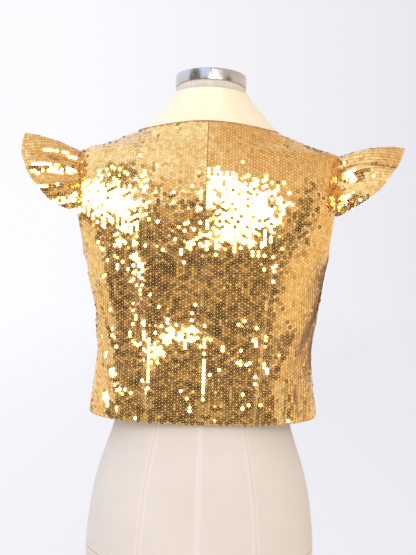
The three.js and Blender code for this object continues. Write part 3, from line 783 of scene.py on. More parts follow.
class NodeKit:
    """Short ways to add shader nodes to one tree."""

    def __init__(self, tree: bpy.types.NodeTree) -> None:
        """Keeps the tree that the nodes are added to."""
        self.tree = tree

    def add(self, kind: str, **settings: object) -> bpy.types.Node:
        """Adds a node and sets its own settings.

        Args:
            kind: The node's type name.
            settings: Values for the node's properties, or for its inputs where the name is one.

        Returns:
            The new node.
        """
        node = self.tree.nodes.new(kind)
        for key, value in settings.items():
            if hasattr(node, key):
                setattr(node, key, value)
            else:
                node.inputs[key.replace("_", " ")].default_value = value
        return node

    def link(self, source: object, target: bpy.types.NodeSocket) -> None:
        """Joins an output to an input, or sets the input where the source is a plain value."""
        if isinstance(source, bpy.types.NodeSocket):
            self.tree.links.new(source, target)
        else:
            target.default_value = source

    def blend(self, mask: bpy.types.NodeSocket, low: object, high: object) -> bpy.types.NodeSocket:
        """Mixes two colours by a mask.

        Args:
            mask: How much of the second colour shows.
            low: The first colour, as numbers or a socket.
            high: The second colour, as numbers or a socket.

        Returns:
            The mixed colour.
        """
        node = self.add("ShaderNodeMix", data_type="RGBA")
        self.link(mask, node.inputs[0])
        for value, socket in ((low, node.inputs[6]), (high, node.inputs[7])):
            self.link((*value, 1) if isinstance(value, tuple) else value, socket)
        return node.outputs[2]

    def math(
        self, operation: str, first: object, second: object = 0.0, clamp: bool = False
    ) -> bpy.types.NodeSocket:
        """Adds one step of arithmetic.

        Args:
            operation: The step's name.
            first: Its first number or socket.
            second: Its second number or socket.
            clamp: Whether the result is held between 0 and 1.

        Returns:
            The result.
        """
        node = self.add("ShaderNodeMath", operation=operation, use_clamp=clamp)
        self.link(first, node.inputs[0])
        self.link(second, node.inputs[1])
        return node.outputs[0]

    def smooth_step(self, value: bpy.types.NodeSocket, low: float, high: float) -> bpy.types.NodeSocket:
        """A soft step of a value, from 0 at low to 1 at high."""
        node = self.add("ShaderNodeMapRange", interpolation_type="SMOOTHSTEP", From_Min=low, From_Max=high)
        self.link(value, node.inputs["Value"])
        return node.outputs[0]

    def place(self, space: str = "Object") -> bpy.types.NodeSocket:
        """The shaded point's place."""
        return self.add("ShaderNodeTexCoord").outputs[space]

    def split(self, vector: bpy.types.NodeSocket) -> bpy.types.bpy_prop_collection:
        """The x, y and z of a vector, as sockets."""
        node = self.add("ShaderNodeSeparateXYZ")
        self.link(vector, node.inputs[0])
        return node.outputs

    def stretched(self, vector: bpy.types.NodeSocket, scale: Colour) -> bpy.types.NodeSocket:
        """A place with each of its axes scaled."""
        node = self.add("ShaderNodeMapping", Scale=scale)
        self.link(vector, node.inputs[0])
        return node.outputs[0]

    def noise(
        self, vector: bpy.types.NodeSocket, scale: float, detail: float, roughness: float
    ) -> bpy.types.NodeSocket:
        """Uneven shade over the surface.

        Args:
            vector: Where it is read.
            scale: How fine it is.
            detail: How many finer layers it has.
            roughness: How much the finer layers count.

        Returns:
            The shade, from 0 to 1.
        """
        node = self.add("ShaderNodeTexNoise", Scale=scale, Detail=detail, Roughness=roughness)
        self.link(vector, node.inputs["Vector"])
        return node.outputs["Fac"]

    def attribute(self, name: str) -> bpy.types.NodeSocket:
        """One of the mesh's own named numbers."""
        return self.add("ShaderNodeAttribute", attribute_name=name).outputs["Fac"]

    def weave(self, group: bpy.types.NodeTree, threads: float, slub: float) -> bpy.types.NodeOutputs:
        """The weave's height and shade, with threads to the metre and how uneven they are."""
        return self.add("ShaderNodeGroup", node_tree=group, Threads_per_metre=threads, Slub=slub).outputs

    def emboss(
        self, shader: bpy.types.Node, height: bpy.types.NodeSocket, strength: float, depth: float
    ) -> None:
        """Gives a shader a fine relief.

        Args:
            shader: The shader.
            height: The relief's height, from 0 to 1.
            strength: How much of it shows.
            depth: How deep it is, in millimetres.
        """
        bump = self.add("ShaderNodeBump", Strength=strength, Distance=depth * MM)
        self.link(height, bump.inputs["Height"])
        self.link(bump.outputs[0], shader.inputs["Normal"])


def make_weave_group() -> bpy.types.NodeTree:
    """Makes a plain weave of threads up and across, with slubs.

    Returns:
        A shader node group that puts out the weave's height and a slow shade.
    """
    tree = bpy.data.node_groups.new("Plain weave", "ShaderNodeTree")
    for word, value in (("Threads per metre", 1000.0), ("Slub", 0.4)):
        socket = tree.interface.new_socket(word, in_out="INPUT", socket_type="NodeSocketFloat")
        socket.default_value = value
    for word in ("Height", "Shade"):
        tree.interface.new_socket(word, in_out="OUTPUT", socket_type="NodeSocketFloat")
    kit = NodeKit(tree)
    inputs = kit.add("NodeGroupInput").outputs
    outputs = kit.add("NodeGroupOutput").inputs
    place = kit.place()
    x, y, z = kit.split(place)
    # A slanting sum of x and y changes along the cloth on every side of the body.
    around = kit.math("ADD", x, kit.math("MULTIPLY", y, 0.7))
    threads = kit.math("MULTIPLY", inputs["Threads per metre"], math.tau)
    upright = kit.math("SINE", kit.math("MULTIPLY", around, threads))
    level = kit.math("SINE", kit.math("MULTIPLY", z, threads))
    weave = kit.math("MULTIPLY", kit.math("ADD", upright, level), 0.25)
    slub = kit.noise(kit.stretched(place, (1.0, 1.0, 7.0)), scale=38.0, detail=5.0, roughness=0.6)
    uneven = kit.math("MULTIPLY", slub, inputs["Slub"])
    kit.link(kit.math("ADD", weave, uneven), outputs["Height"])
    kit.link(kit.noise(place, scale=9.0, detail=4.0, roughness=0.55), outputs["Shade"])
    return tree


def new_material(name: str, **settings: object) -> tuple[bpy.types.Material, NodeKit, bpy.types.Node]:
    """Starts a material.

    Args:
        name: The material's name.
        settings: Values for its shader's inputs, the same all over the surface.

    Returns:
        The material, a kit on its tree and its Principled shader.
    """
    material = bpy.data.materials.new(name)
    material.use_nodes = True
    shader = material.node_tree.nodes["Principled BSDF"]
    for key, value in settings.items():
        shader.inputs[key.replace("_", " ")].default_value = value
    return material, NodeKit(material.node_tree), shader


@dataclass(frozen=True)
class SequinFinish:
    """Gold-coated sequins: a mirror-like metal film, each with its own tone, and matt thread."""

    pale: Colour = (1.0, 0.67, 0.25)
    deep: Colour = (0.80, 0.40, 0.085)
    stitch: Colour = (0.86, 0.58, 0.23)
    roughness: float = 0.07
    thread_roughness: float = 0.5

    def material(self) -> bpy.types.Material:
        """Builds the finish.

        Returns:
            The material, which reads the discs' "tone" and "thread" values.
        """
        material, kit, shader = new_material("Gold sequin")
        thread = kit.attribute("thread")
        film = kit.blend(kit.attribute("tone"), self.deep, self.pale)
        kit.link(kit.blend(thread, film, self.stitch), shader.inputs["Base Color"])
        kit.link(kit.math("SUBTRACT", 1.0, thread), shader.inputs["Metallic"])
        rough = kit.math("MULTIPLY", thread, self.thread_roughness)
        kit.link(kit.math("ADD", rough, self.roughness), shader.inputs["Roughness"])
        return material


@dataclass(frozen=True)
class GroundCloth:
    """The olive-gold knitted ground that the sequins are sewn to."""

    outside: Colour = (0.66, 0.41, 0.14)
    inside: Colour = (0.40, 0.29, 0.09)
    mottle_low: Colour = (0.25, 0.15, 0.04)
    mottle_high: Colour = (0.46, 0.33, 0.12)
    mottle: float = 0.45

    def material(self, weave: bpy.types.NodeTree) -> bpy.types.Material:
        """Builds the finish.

        Args:
            weave: The weave's node group.

        Returns:
            The material, which reads the cloth's "inside" value.
        """
        material, kit, shader = new_material("Ground cloth", Roughness=0.62, Sheen_Weight=0.3)
        height, shade = kit.weave(weave, threads=900.0, slub=0.4)
        face = kit.blend(kit.attribute("inside"), self.outside, self.inside)
        dark = kit.blend(shade, self.mottle_low, self.mottle_high)
        kit.link(kit.blend(kit.math("MULTIPLY", shade, self.mottle), face, dark), shader.inputs["Base Color"])
        kit.emboss(shader, height, strength=0.25, depth=0.3)
        return material


@dataclass(frozen=True)
class SatinFinish:
    """Cream-yellow satin with a soft sheen."""

    light: Colour = (0.92, 0.81, 0.575)
    deep: Colour = (0.90, 0.79, 0.535)

    def material(self, weave: bpy.types.NodeTree) -> bpy.types.Material:
        """Builds the finish.

        Args:
            weave: The weave's node group.

        Returns:
            The material.
        """
        material, kit, shader = new_material(
            "Cream satin", Roughness=0.42, Sheen_Weight=0.25, Specular_IOR_Level=0.5
        )
        height, shade = kit.weave(weave, threads=2200.0, slub=0.15)
        kit.link(kit.blend(shade, self.deep, self.light), shader.inputs["Base Color"])
        kit.emboss(shader, height, strength=0.12, depth=0.15)
        return material


@dataclass(frozen=True)
class LinenFinish:
    """Pale beige linen, with pinkish-beige lines along its seams, and a painted highlight on its raised
    threads and seam welts.
    """

    light: Colour = (0.735, 0.65, 0.555)
    deep: Colour = (0.605, 0.52, 0.43)
    seam: Colour = (0.56, 0.31, 0.19)
    # Painted highlight: the lighter colour laid on the raised threads and on the welts.
    ridge_highlight: Colour = (0.78, 0.73, 0.67)
    thread_highlight_share: float = 0.22
    welt_highlight_share: float = 0.55
    seam_share: float = 0.8

    def material(self, weave: bpy.types.NodeTree) -> bpy.types.Material:
        """Builds the finish.

        Args:
            weave: The weave's node group.

        Returns:
            The material, which reads the linen's "seam" and "welt" values.
        """
        material, kit, shader = new_material("Form linen", Roughness=0.92, Sheen_Weight=0.12)
        height, shade = kit.weave(weave, threads=650.0, slub=0.9)
        cloth = kit.blend(shade, self.deep, self.light)
        # Raised threads and welts are painted lighter, a painted highlight where the cloth stands up; the
        # seam lines are the seams' own darker colour.
        for value, share, colour in (
            (height, self.thread_highlight_share, self.ridge_highlight),
            (kit.attribute("welt"), self.welt_highlight_share, self.ridge_highlight),
            (kit.attribute("seam"), self.seam_share, self.seam),
        ):
            cloth = kit.blend(kit.math("MULTIPLY", value, share), cloth, colour)
        kit.link(cloth, shader.inputs["Base Color"])
        kit.emboss(shader, height, strength=0.3, depth=0.4)
        return material


@dataclass(frozen=True)
class CapMetal:
    """Polished metal, finely brushed round the band."""

    tint: Colour = (0.62, 0.60, 0.60)
    dullest: float = 0.82
    brushing: Colour = (14.0, 14.0, 1400.0)

    def material(self) -> bpy.types.Material:
        """Builds the finish.

        Returns:
            The material.
        """
        material, kit, shader = new_material("Polished cap metal", Metallic=1.0, Roughness=0.2)
        place = kit.stretched(kit.place(), self.brushing)
        grain = kit.noise(place, scale=1.0, detail=4.0, roughness=0.5)
        dull = tuple(channel * self.dullest for channel in self.tint)
        kit.link(kit.blend(grain, dull, self.tint), shader.inputs["Base Color"])
        kit.emboss(shader, grain, strength=0.06, depth=0.2)
        return material


class Finishes:
    """Every finish of the part, built once."""

    def __init__(self) -> None:
        """Builds the weave's node group and the materials."""
        weave = make_weave_group()
        # The binding's russet is a painted shadow: the dark line that the gold edge casts along the neck
        # seam.
        edge_shadow_brown = (0.50, 0.22, 0.06)
        self.sequin = SequinFinish().material()
        self.ground = GroundCloth().material(weave)
        self.binding = GroundCloth(outside=edge_shadow_brown, inside=edge_shadow_brown).material(weave)
        self.satin = SatinFinish().material(weave)
        self.linen = LinenFinish().material(weave)
        self.metal = CapMetal().material()


def dress(piece: bpy.types.Object, material: bpy.types.Material) -> None:
    """Gives a piece its material and makes it ride on the body.

    Args:
        piece: The piece.
        material: Its finish.
    """
    piece.data.materials.append(material)
    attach(piece, "root")


@dataclass(frozen=True)
class Sequin:
    """A flat disc sewn down through its centre, and how the sewn discs lie."""

    radius: float = 2.7
    hole: float = 0.7
    bead: float = 0.85
    bead_foot: float = 0.04
    bead_rise: float = 0.3
    sides: int = 10
    pitch: float = 5.2
    column: float = 4.55
    tilt: float = 2.7
    loose_share: float = 0.07
    loose_tilt: float = 10.0
    loose_lift: float = 0.5
    uneven_lift: float = 0.22
    tone: float = 0.6
    tone_spread: float = 0.3

    def scatter(
        self,
        name: str,
        centres: np.ndarray,
        normals: np.ndarray,
        ups: np.ndarray,
        random: np.random.Generator,
    ) -> bpy.types.Object:
        """Joins one disc for each place into one mesh.

        Args:
            name: The piece's name.
            centres: Where the discs' holes lie.
            normals: Which way the discs face.
            ups: The cloth's grain at each disc.
            random: The seeded source of tilts and tones.

        Returns:
            The joined discs.
        """
        count = len(centres)
        loose = random.random(count) < self.loose_share
        spread = np.where(loose, self.loose_tilt, self.tilt)[:, None]
        lean = np.radians(random.normal(0, 1, (count, 2)) * spread)
        east = unit(np.cross(ups, normals))
        facing = unit(normals + east * lean[:, :1] + ups * lean[:, 1:])
        east = unit(np.cross(ups, facing))
        north = np.cross(facing, east)
        angles = np.arange(self.sides) * math.tau / self.sides
        angles = (angles[None, :] + random.random(count)[:, None] * math.tau)[..., None]
        circle = np.cos(angles) * east[:, None, :] + np.sin(angles) * north[:, None, :]
        lift = np.where(loose, self.loose_lift, 0.0) + random.random(count) * self.uneven_lift
        middle = centres + facing * lift[:, None]
        crown = (middle + facing * self.bead_rise)[:, None, :]
        rings = [
            middle[:, None, :] + circle * radius + facing[:, None, :] * rise
            for radius, rise in ((self.bead, self.bead_foot), (self.hole, 0.0), (self.radius, 0.0))
        ]
        points = np.concatenate([crown, *rings], axis=1)
        each = points.shape[1]
        index = np.arange(count * each).reshape(count, each)
        bead, hole, edge = np.split(index[:, 1:], len(rings), axis=1)
        film = np.stack([hole, edge, np.roll(edge, -1, 1), np.roll(hole, -1, 1)], axis=-1).reshape(-1, 4)
        top = np.broadcast_to(index[:, :1], bead.shape)
        beads = np.stack([top, bead, np.roll(bead, -1, 1)], axis=-1).reshape(-1, 3)
        triangles = np.concatenate([film[:, [0, 1, 2]], film[:, [0, 2, 3]], beads])
        tone = np.clip(random.normal(self.tone, self.tone_spread, count), 0, 1)
        thread = np.zeros((count, each))
        thread[:, : 1 + self.sides] = 1
        return mesh_piece(
            name, points.reshape(-1, 3), triangles, smooth=False,
            values={"tone": np.repeat(tone, each), "thread": thread},
        )


@dataclass
class Panel:
    """One back or front of the waistcoat: its ground cloth and the sequins sewn to it."""

    cloth: Cloth
    side: Side
    half: Half
    finishes: Finishes
    sequin: Sequin = field(default_factory=Sequin)
    detail: int = 3
    edge_detail: int = 8
    ground_depth: float = 0.62
    sequin_depth: float = 0.37
    seam_lean: float = -0.08
    seam_lean_strings: float = 0.7
    dart_clearance: float = 2.9
    first_string: float = 2.95
    side_margin: float = 1.6
    hem_margin: float = 1.4
    neck_margin: float = 1.0
    first_stop: float = 1.2
    uneven_stop: float = 0.14
    low_string: float = 502
    lowest: float = 258
    highest: float = 745.5
    height_step: float = 0.5
    fewest_steps: int = 2

    @property
    def name(self) -> str:
        """The panel's own name, such as back_left."""
        return f"{self.half.value}_{self.side.word}"

    def build(self, random: np.random.Generator) -> None:
        """Builds the cloth and its sequins and dresses them.

        Args:
            random: The seeded source of the sequins' unevenness.
        """
        rows = len(ROW_HEIGHTS) - 1
        column, row = np.meshgrid(
            np.linspace(0, PANEL_COLUMNS, PANEL_COLUMNS * self.detail + 1),
            np.linspace(0, rows, rows * self.detail + 1),
        )
        turn, height = self.cloth.place(column, row, self.half)
        turn = turn * self.side.value
        ground = wall_piece(
            f"cloth_{self.name}",
            self.cloth.point(turn, height, self.ground_depth),
            self.cloth.point(turn, height, PANEL_WALL),
        )
        discs = self.sequins(random)
        dress(ground, self.finishes.ground)
        dress(discs, self.finishes.sequin)
        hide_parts(self.name)
        cut = PANEL_CUTS[self.half]
        LOG.info("%s: cut %.0f by %.0f mm", self.name, cut.width / MM, cut.length / MM)

    def edge_line(self, row: int) -> tuple[np.ndarray, np.ndarray]:
        """Follows the panel's hem or neck edge.

        Args:
            row: The edge's row of the panel's grid.

        Returns:
            The edge's turns, rising, and its heights.
        """
        column = np.linspace(0, PANEL_COLUMNS, PANEL_COLUMNS * self.edge_detail + 1)
        turn, height = self.cloth.place(column, np.full(len(column), float(row)), self.half)
        order = np.argsort(turn)
        return turn[order], height[order]

    def strings(self) -> list[tuple[int, np.ndarray, np.ndarray]]:
        """Lays out the strings of sequins, which run up the grain from the centre line outwards.

        Returns:
            Each string's number, its turns and its heights.
        """
        fine = np.arange(self.lowest, self.highest, self.height_step)
        length = self.cloth.skin.quarter(fine, self.half)
        edge = self.cloth.edge_turn(fine, self.half)
        hem_turns, hem_heights = self.edge_line(0)
        neck_turns, neck_heights = self.edge_line(len(ROW_HEIGHTS) - 1)
        sign = -1 if self.half is Half.FRONT else 1
        found = []
        for number in range(int(length.max() / self.sequin.column) + 1):
            share = (self.first_string + number * self.sequin.column) / length
            turn = 2 - share if self.half is Half.FRONT else share
            hem = np.interp(turn, hem_turns, hem_heights)
            neck = np.interp(turn, neck_turns, neck_heights)
            inside = sign * turn < sign * edge - self.side_margin / length
            inside &= (fine > hem + self.hem_margin) & (fine < neck - self.neck_margin)
            starts = np.flatnonzero(np.diff(np.concatenate([[0], inside.astype(int), [0]])))
            for first, last in zip(starts[::2], starts[1::2]):
                if last - first > self.fewest_steps:
                    found.append((number, turn[first:last], fine[first:last]))
        return found

    def clear_of_dart(self, turn: np.ndarray, height: np.ndarray) -> np.ndarray:
        """Moves the sequins on the dart's line to its sides.

        Args:
            turn: The sequins' turns, on the left side.
            height: Their heights.

        Returns:
            Their new turns.
        """
        dart = self.cloth.dart_turn(height, self.half)
        reach = self.dart_clearance / self.cloth.skin.quarter(height, self.half)
        off = turn - dart
        moved = dart + np.where(off < 0, -1, 1) * reach
        on_line = (np.abs(off) < reach) & (height < DARTS[self.half].tip_height)
        return np.where(on_line, moved, turn)

    def sequins(self, random: np.random.Generator) -> bpy.types.Object:
        """Sews the sequins in strings, with every second string half a pitch higher.

        Args:
            random: The seeded source of their unevenness.

        Returns:
            The panel's sequins as one piece.
        """
        turns, heights, leans = [], [], []
        for number, turn, fine in self.strings():
            run = run_along(self.cloth.skin.point(turn * self.side.value, fine))
            first = self.first_stop + (number % 2) * self.sequin.pitch / 2
            if fine[0] > self.low_string:
                first = (fine[0] + first) % self.sequin.pitch
            stops = np.arange(first, run[-1], self.sequin.pitch)
            stops = stops + random.normal(0, self.uneven_stop, len(stops))
            heights.append(np.interp(stops, run, fine))
            turns.append(np.interp(stops, run, turn))
            lean = self.seam_lean * math.exp(-number / self.seam_lean_strings)
            leans.append(np.full(len(stops), lean))
        height = np.concatenate(heights)
        turn = self.clear_of_dart(np.concatenate(turns), height) * self.side.value
        normals, ups = self.cloth.frame_at(turn, height)
        seats = self.cloth.point(turn, height, self.sequin_depth)
        across, upward = soft_buckles(turn * self.cloth.skin.quarter(height, Half.BACK), height)
        inward = -np.concatenate(leans) * np.sign(normals[:, 1]) * np.sign(turn)
        east = unit(np.cross(ups, normals))
        east = east * np.where(east[:, :1] * np.sign(normals[:, 1:2]) < 0, -1, 1)
        normals = unit(normals + east * (across + inward)[:, None] + ups * upward[:, None])
        return self.sequin.scatter(f"sequins_{self.name}", seats, normals, ups, random)


def soft_buckles(around: np.ndarray, height: np.ndarray) -> tuple[np.ndarray, np.ndarray]:
    """Small slow changes of slope over sequinned cloth.

    Args:
        around: The sequins' ways from the centre back.
        height: Their heights.

    Returns:
        How far each leans across and up, in radians.
    """
    # Two bent waves each way, with their strengths in radians and their lengths in millimetres.
    across = 0.030 * np.sin(around / 19 + 1.7 * np.sin(height / 31)) * np.sin(height / 43 + 0.6)
    across += 0.022 * np.sin(around / 8.5 + height / 27)
    upward = 0.030 * np.sin(height / 17 + 1.3 * np.sin(around / 29)) * np.cos(around / 37)
    upward += 0.020 * np.sin(height / 9 - around / 21)
    upward -= HEM_LEAN * np.clip((HEM_LEAN_TOP - height) / HEM_LEAN_RUN, 0, 1)
    for ripple in RIPPLES:
        _, off = ripple.beside(around, height)
        strength = np.exp(-((off / ripple.width) ** 2))
        across = across + ripple.lean * strength
        upward = upward + ripple.lift * strength
    return across, upward


@dataclass
class FlutterSleeve:
    """A crescent sleeve gathered onto the upper armhole, and its sequins."""

    cloth: Cloth
    side: Side
    finishes: Finishes
    sequin: Sequin = field(default_factory=Sequin)
    columns: int = 120
    rows: int = 28
    clearance: float = 0.6
    sideways: float = 2.0
    swell: float = 4.0
    seam_grip: float = 9
    ground_rise: float = 0.12
    sequin_rise: float = 0.4
    first_row: float = 0.35
    edge_rows: float = 0.75
    first_stop: float = 1.6
    second_stop: float = 4.2
    end_margin: float = 1.0
    crumple: float = 2.1
    crumple_scale: float = 1.6

    def seam(self) -> np.ndarray:
        """Finds the armhole's edge, from the back over the shoulder tip to the front.

        Returns:
            The points at which the sleeve's middle sheet starts.
        """
        points = []
        back_rows = list(range(SLEEVE_FIRST_ROW, SHOULDER_TIP_ROW + 1))
        outward = np.array([self.sideways * self.side.value, 0, 0])
        for half, rows in ((Half.BACK, back_rows), (Half.FRONT, back_rows[::-1])):
            row = np.array(rows, float)
            sides = []
            for column in (PANEL_COLUMNS, PANEL_COLUMNS - 1):
                turn, height = self.cloth.place(np.full(len(row), float(column)), row, half)
                sides.append(self.cloth.point(turn * self.side.value, height, PANEL_WALL / 2))
            edge, within = sides
            onward = unit(unit(edge - within) + outward)
            points.append(edge + onward * (SLEEVE_WALL / 2 + self.clearance))
        return np.concatenate(points)

    def smooth(self, along: np.ndarray, out: np.ndarray) -> np.ndarray:
        """Places the sleeve's middle sheet before its gathers.

        Args:
            along: The places' shares of the way along the seam.
            out: Their shares of the way out to the free edge.

        Returns:
            Their points.
        """
        seam = self.seam()
        run = run_along(seam)
        place = along * run[-1]
        foot = np.stack([np.interp(place, run, seam[:, axis]) for axis in range(3)], axis=-1)
        rows = SLEEVE_EDGES[self.side]
        alongs = [row.along for row in rows]
        edge = np.stack(
            [
                self.side.value * read_rows(alongs, [row.out for row in rows], along),
                read_rows(alongs, [row.depth for row in rows], along),
                read_rows(alongs, [row.height for row in rows], along),
            ],
            axis=-1,
        )
        swell = self.swell * out * (1 - out) * SLEEVE_CROWN[self.side] * np.sin(math.pi * along)
        lift = np.stack([np.zeros_like(swell), swell * np.cos(math.pi * along), swell], axis=-1)
        return foot + (edge - foot) * out[..., None] + lift

    def sheet(self) -> np.ndarray:
        """Gathers the middle sheet.

        Returns:
            Its grid of points, from the seam out to the free edge.
        """
        along, out = np.meshgrid(np.linspace(0, 1, self.columns + 1), np.linspace(0, 1, self.rows + 1))
        relief = np.zeros_like(along)
        for gather in GATHERS[self.side]:
            centre = gather.seam + (gather.edge - gather.seam) * out
            size = gather.at_seam * (1 - out) + gather.at_edge * out
            relief += size * np.exp(-(((along - centre) / gather.width) ** 2))
        step = 0.02
        east = self.smooth(np.minimum(1, along + step), out) - self.smooth(np.maximum(0, along - step), out)
        north = self.smooth(along, np.minimum(1, out + step)) - self.smooth(along, np.maximum(0, out - step))
        normal = unit(np.cross(north, east)) * self.side.value
        grip = (1 - np.exp(-out * self.seam_grip))[..., None]
        return self.smooth(along, out) + normal * relief[..., None] * grip

    def build(self, random: np.random.Generator) -> None:
        """Builds the sleeve's cloth and its sequins and dresses them.

        Args:
            random: The seeded source of the sequins' unevenness.
        """
        word = self.side.word
        grid = self.sheet()
        normals = sheet_normals(grid)
        top_side = np.array([self.side.value * 0.2, 1, 0.6])
        if (normals[self.rows // 2, self.columns // 4] * top_side).sum() < 0:
            normals = -normals
        ground = wall_piece(
            f"cloth_sleeve_{word}", grid + normals * self.ground_rise, grid - normals * SLEEVE_WALL / 2
        )
        discs = self.sequins(grid, normals, random)
        dress(ground, self.finishes.ground)
        dress(discs, self.finishes.sequin)
        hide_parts(f"sleeve_{word}")
        LOG.info("sleeve_%s: built", word)

    def sequins(
        self, grid: np.ndarray, normals: np.ndarray, random: np.random.Generator
    ) -> bpy.types.Object:
        """Sews the sequins in rows along the free edge.

        Args:
            grid: The middle sheet's points.
            normals: Its normals, on the sequinned side.
            random: The seeded source of the sequins' unevenness.

        Returns:
            The sleeve's sequins as one piece.
        """
        middle = self.columns // 2
        count = int(np.linalg.norm(grid[-1, middle] - grid[0, middle]) / self.sequin.column)
        centres, facings, ups = [], [], []
        for number in range(count + 1):
            level = (self.first_row + number) / (count + self.edge_rows) * self.rows
            low = min(int(level), self.rows - 1)
            share = level - low
            line = grid[low] * (1 - share) + grid[low + 1] * share
            facing = normals[low] * (1 - share) + normals[low + 1] * share
            up = unit(grid[low] - grid[low + 1])
            run = run_along(line)
            first = self.second_stop if number % 2 else self.first_stop
            stops = np.arange(first, run[-1] - self.end_margin, self.sequin.pitch)
            for values, kept in ((line, centres), (facing, facings), (up, ups)):
                kept.append(read_line(stops, run, values))
        centre = np.concatenate(centres)
        facing = unit(np.concatenate(facings))
        up = np.concatenate(ups)
        up = unit(up - facing * np.einsum("ij,ij->i", up, facing)[:, None])
        scaled = centre * self.crumple_scale
        across, upward = soft_buckles(scaled[:, 0], scaled[:, 2] + centre[:, 1])
        east = unit(np.cross(up, facing))
        across, upward = self.crumple * across, self.crumple * upward
        facing = unit(facing + east * across[:, None] + up * upward[:, None])
        seats = centre + facing * self.sequin_rise
        return self.sequin.scatter(f"sequins_sleeve_{self.side.word}", seats, facing, up, random)


@dataclass
class StandCollar:
    """The satin band that leans in to the neck."""

    cloth: Cloth
    finishes: Finishes
    top_half: float = 56
    top_back: float = 58
    top_front: float = 62
    side_height: float = 792
    back_rise: float = 5
    front_drop: float = 50
    hollow: float = 2
    foot_gap: float = 0.4
    detail: int = 3
    rows: int = 20
    binding_radius: float = 0.9
    binding_depth: float = 0.6
    binding_sides: int = 8

    def feet(self) -> tuple[np.ndarray, np.ndarray]:
        """Follows the neck seam, from the right front round the back to the left front.

        Returns:
            The collar's feet as turns and as points.
        """
        turns, points = [], []
        column = np.linspace(0, PANEL_COLUMNS, PANEL_COLUMNS * self.detail + 1)
        top = np.full(len(column), float(len(ROW_HEIGHTS) - 1))
        for side, order in ((-1, 1), (1, -1)):
            for half in (Half.FRONT, Half.BACK)[::order]:
                turn, height = self.cloth.place(column, top, half)
                turn = turn * side
                foot = self.cloth.point(turn, height, PANEL_WALL / 2)
                above = self.cloth.skin.point(turn, height + self.cloth.skin.RISE)
                foot = foot + unit(above - self.cloth.skin.point(turn, height)) * self.foot_gap
                step = -1 if (side == -1) == (half is Half.BACK) else 1
                turns.append(turn[::step])
                points.append(foot[::step])
        return np.concatenate(turns), np.concatenate(points)

    def build(self) -> None:
        """Builds the collar and dresses it."""
        turns, feet = self.feet()
        angle = turns * math.pi / 2
        facing = np.cos(angle)
        top = np.stack(
            [
                self.top_half * np.sin(angle),
                np.where(facing > 0, self.top_back, self.top_front) * facing,
                self.side_height + np.where(facing > 0, self.back_rise, -self.front_drop) * facing**2,
            ],
            axis=-1,
        )
        up = np.linspace(0, 1, self.rows + 1)[:, None, None]
        inward = np.stack([-np.sin(angle), -facing, np.zeros_like(angle)], axis=-1)
        grid = feet + (top - feet) * up + inward * self.hollow * np.sin(math.pi * up)
        out = sheet_normals(grid) * COLLAR_WALL / 2
        collar = wall_piece("satin_collar", grid + out, grid - out)
        bevel_edges(collar, width=0.45, segments=2, angle=60)
        dress(collar, self.finishes.satin)
        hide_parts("collar")
        self.binding()
        LOG.info("collar: built")

    def binding(self) -> bpy.types.Object:
        """Builds the thin bound edge that closes the neck seam in front of the collar, in a russet that
        paints the shadow under the gold edge.

        Returns:
            The dressed binding.
        """
        turns, feet = self.feet()
        outward = self.cloth.skin.normal(turns, feet[:, 2])
        middle = feet + outward * self.binding_depth
        around = np.linspace(0, math.tau, self.binding_sides, endpoint=False)[None, :, None]
        upward = np.array([0.0, 0.0, 1.0])
        circle = outward[:, None, :] * np.cos(around) + upward * np.sin(around)
        tube = middle[:, None, :] + self.binding_radius * circle
        index = np.arange(tube.shape[0] * tube.shape[1]).reshape(tube.shape[:2])
        start, end = index[0], index[-1]
        corners = range(1, self.binding_sides - 1)
        caps = [(start[0], start[k + 1], start[k]) for k in corners]
        caps += [(end[0], end[k], end[k + 1]) for k in corners]
        triangles = np.concatenate([band_triangles(index), np.array(caps)])
        # Its russet finish is a painted shadow line along the gold edge.
        piece = mesh_piece("neck_binding", tube.reshape(-1, 3), triangles)
        dress(piece, self.finishes.binding)
        return piece


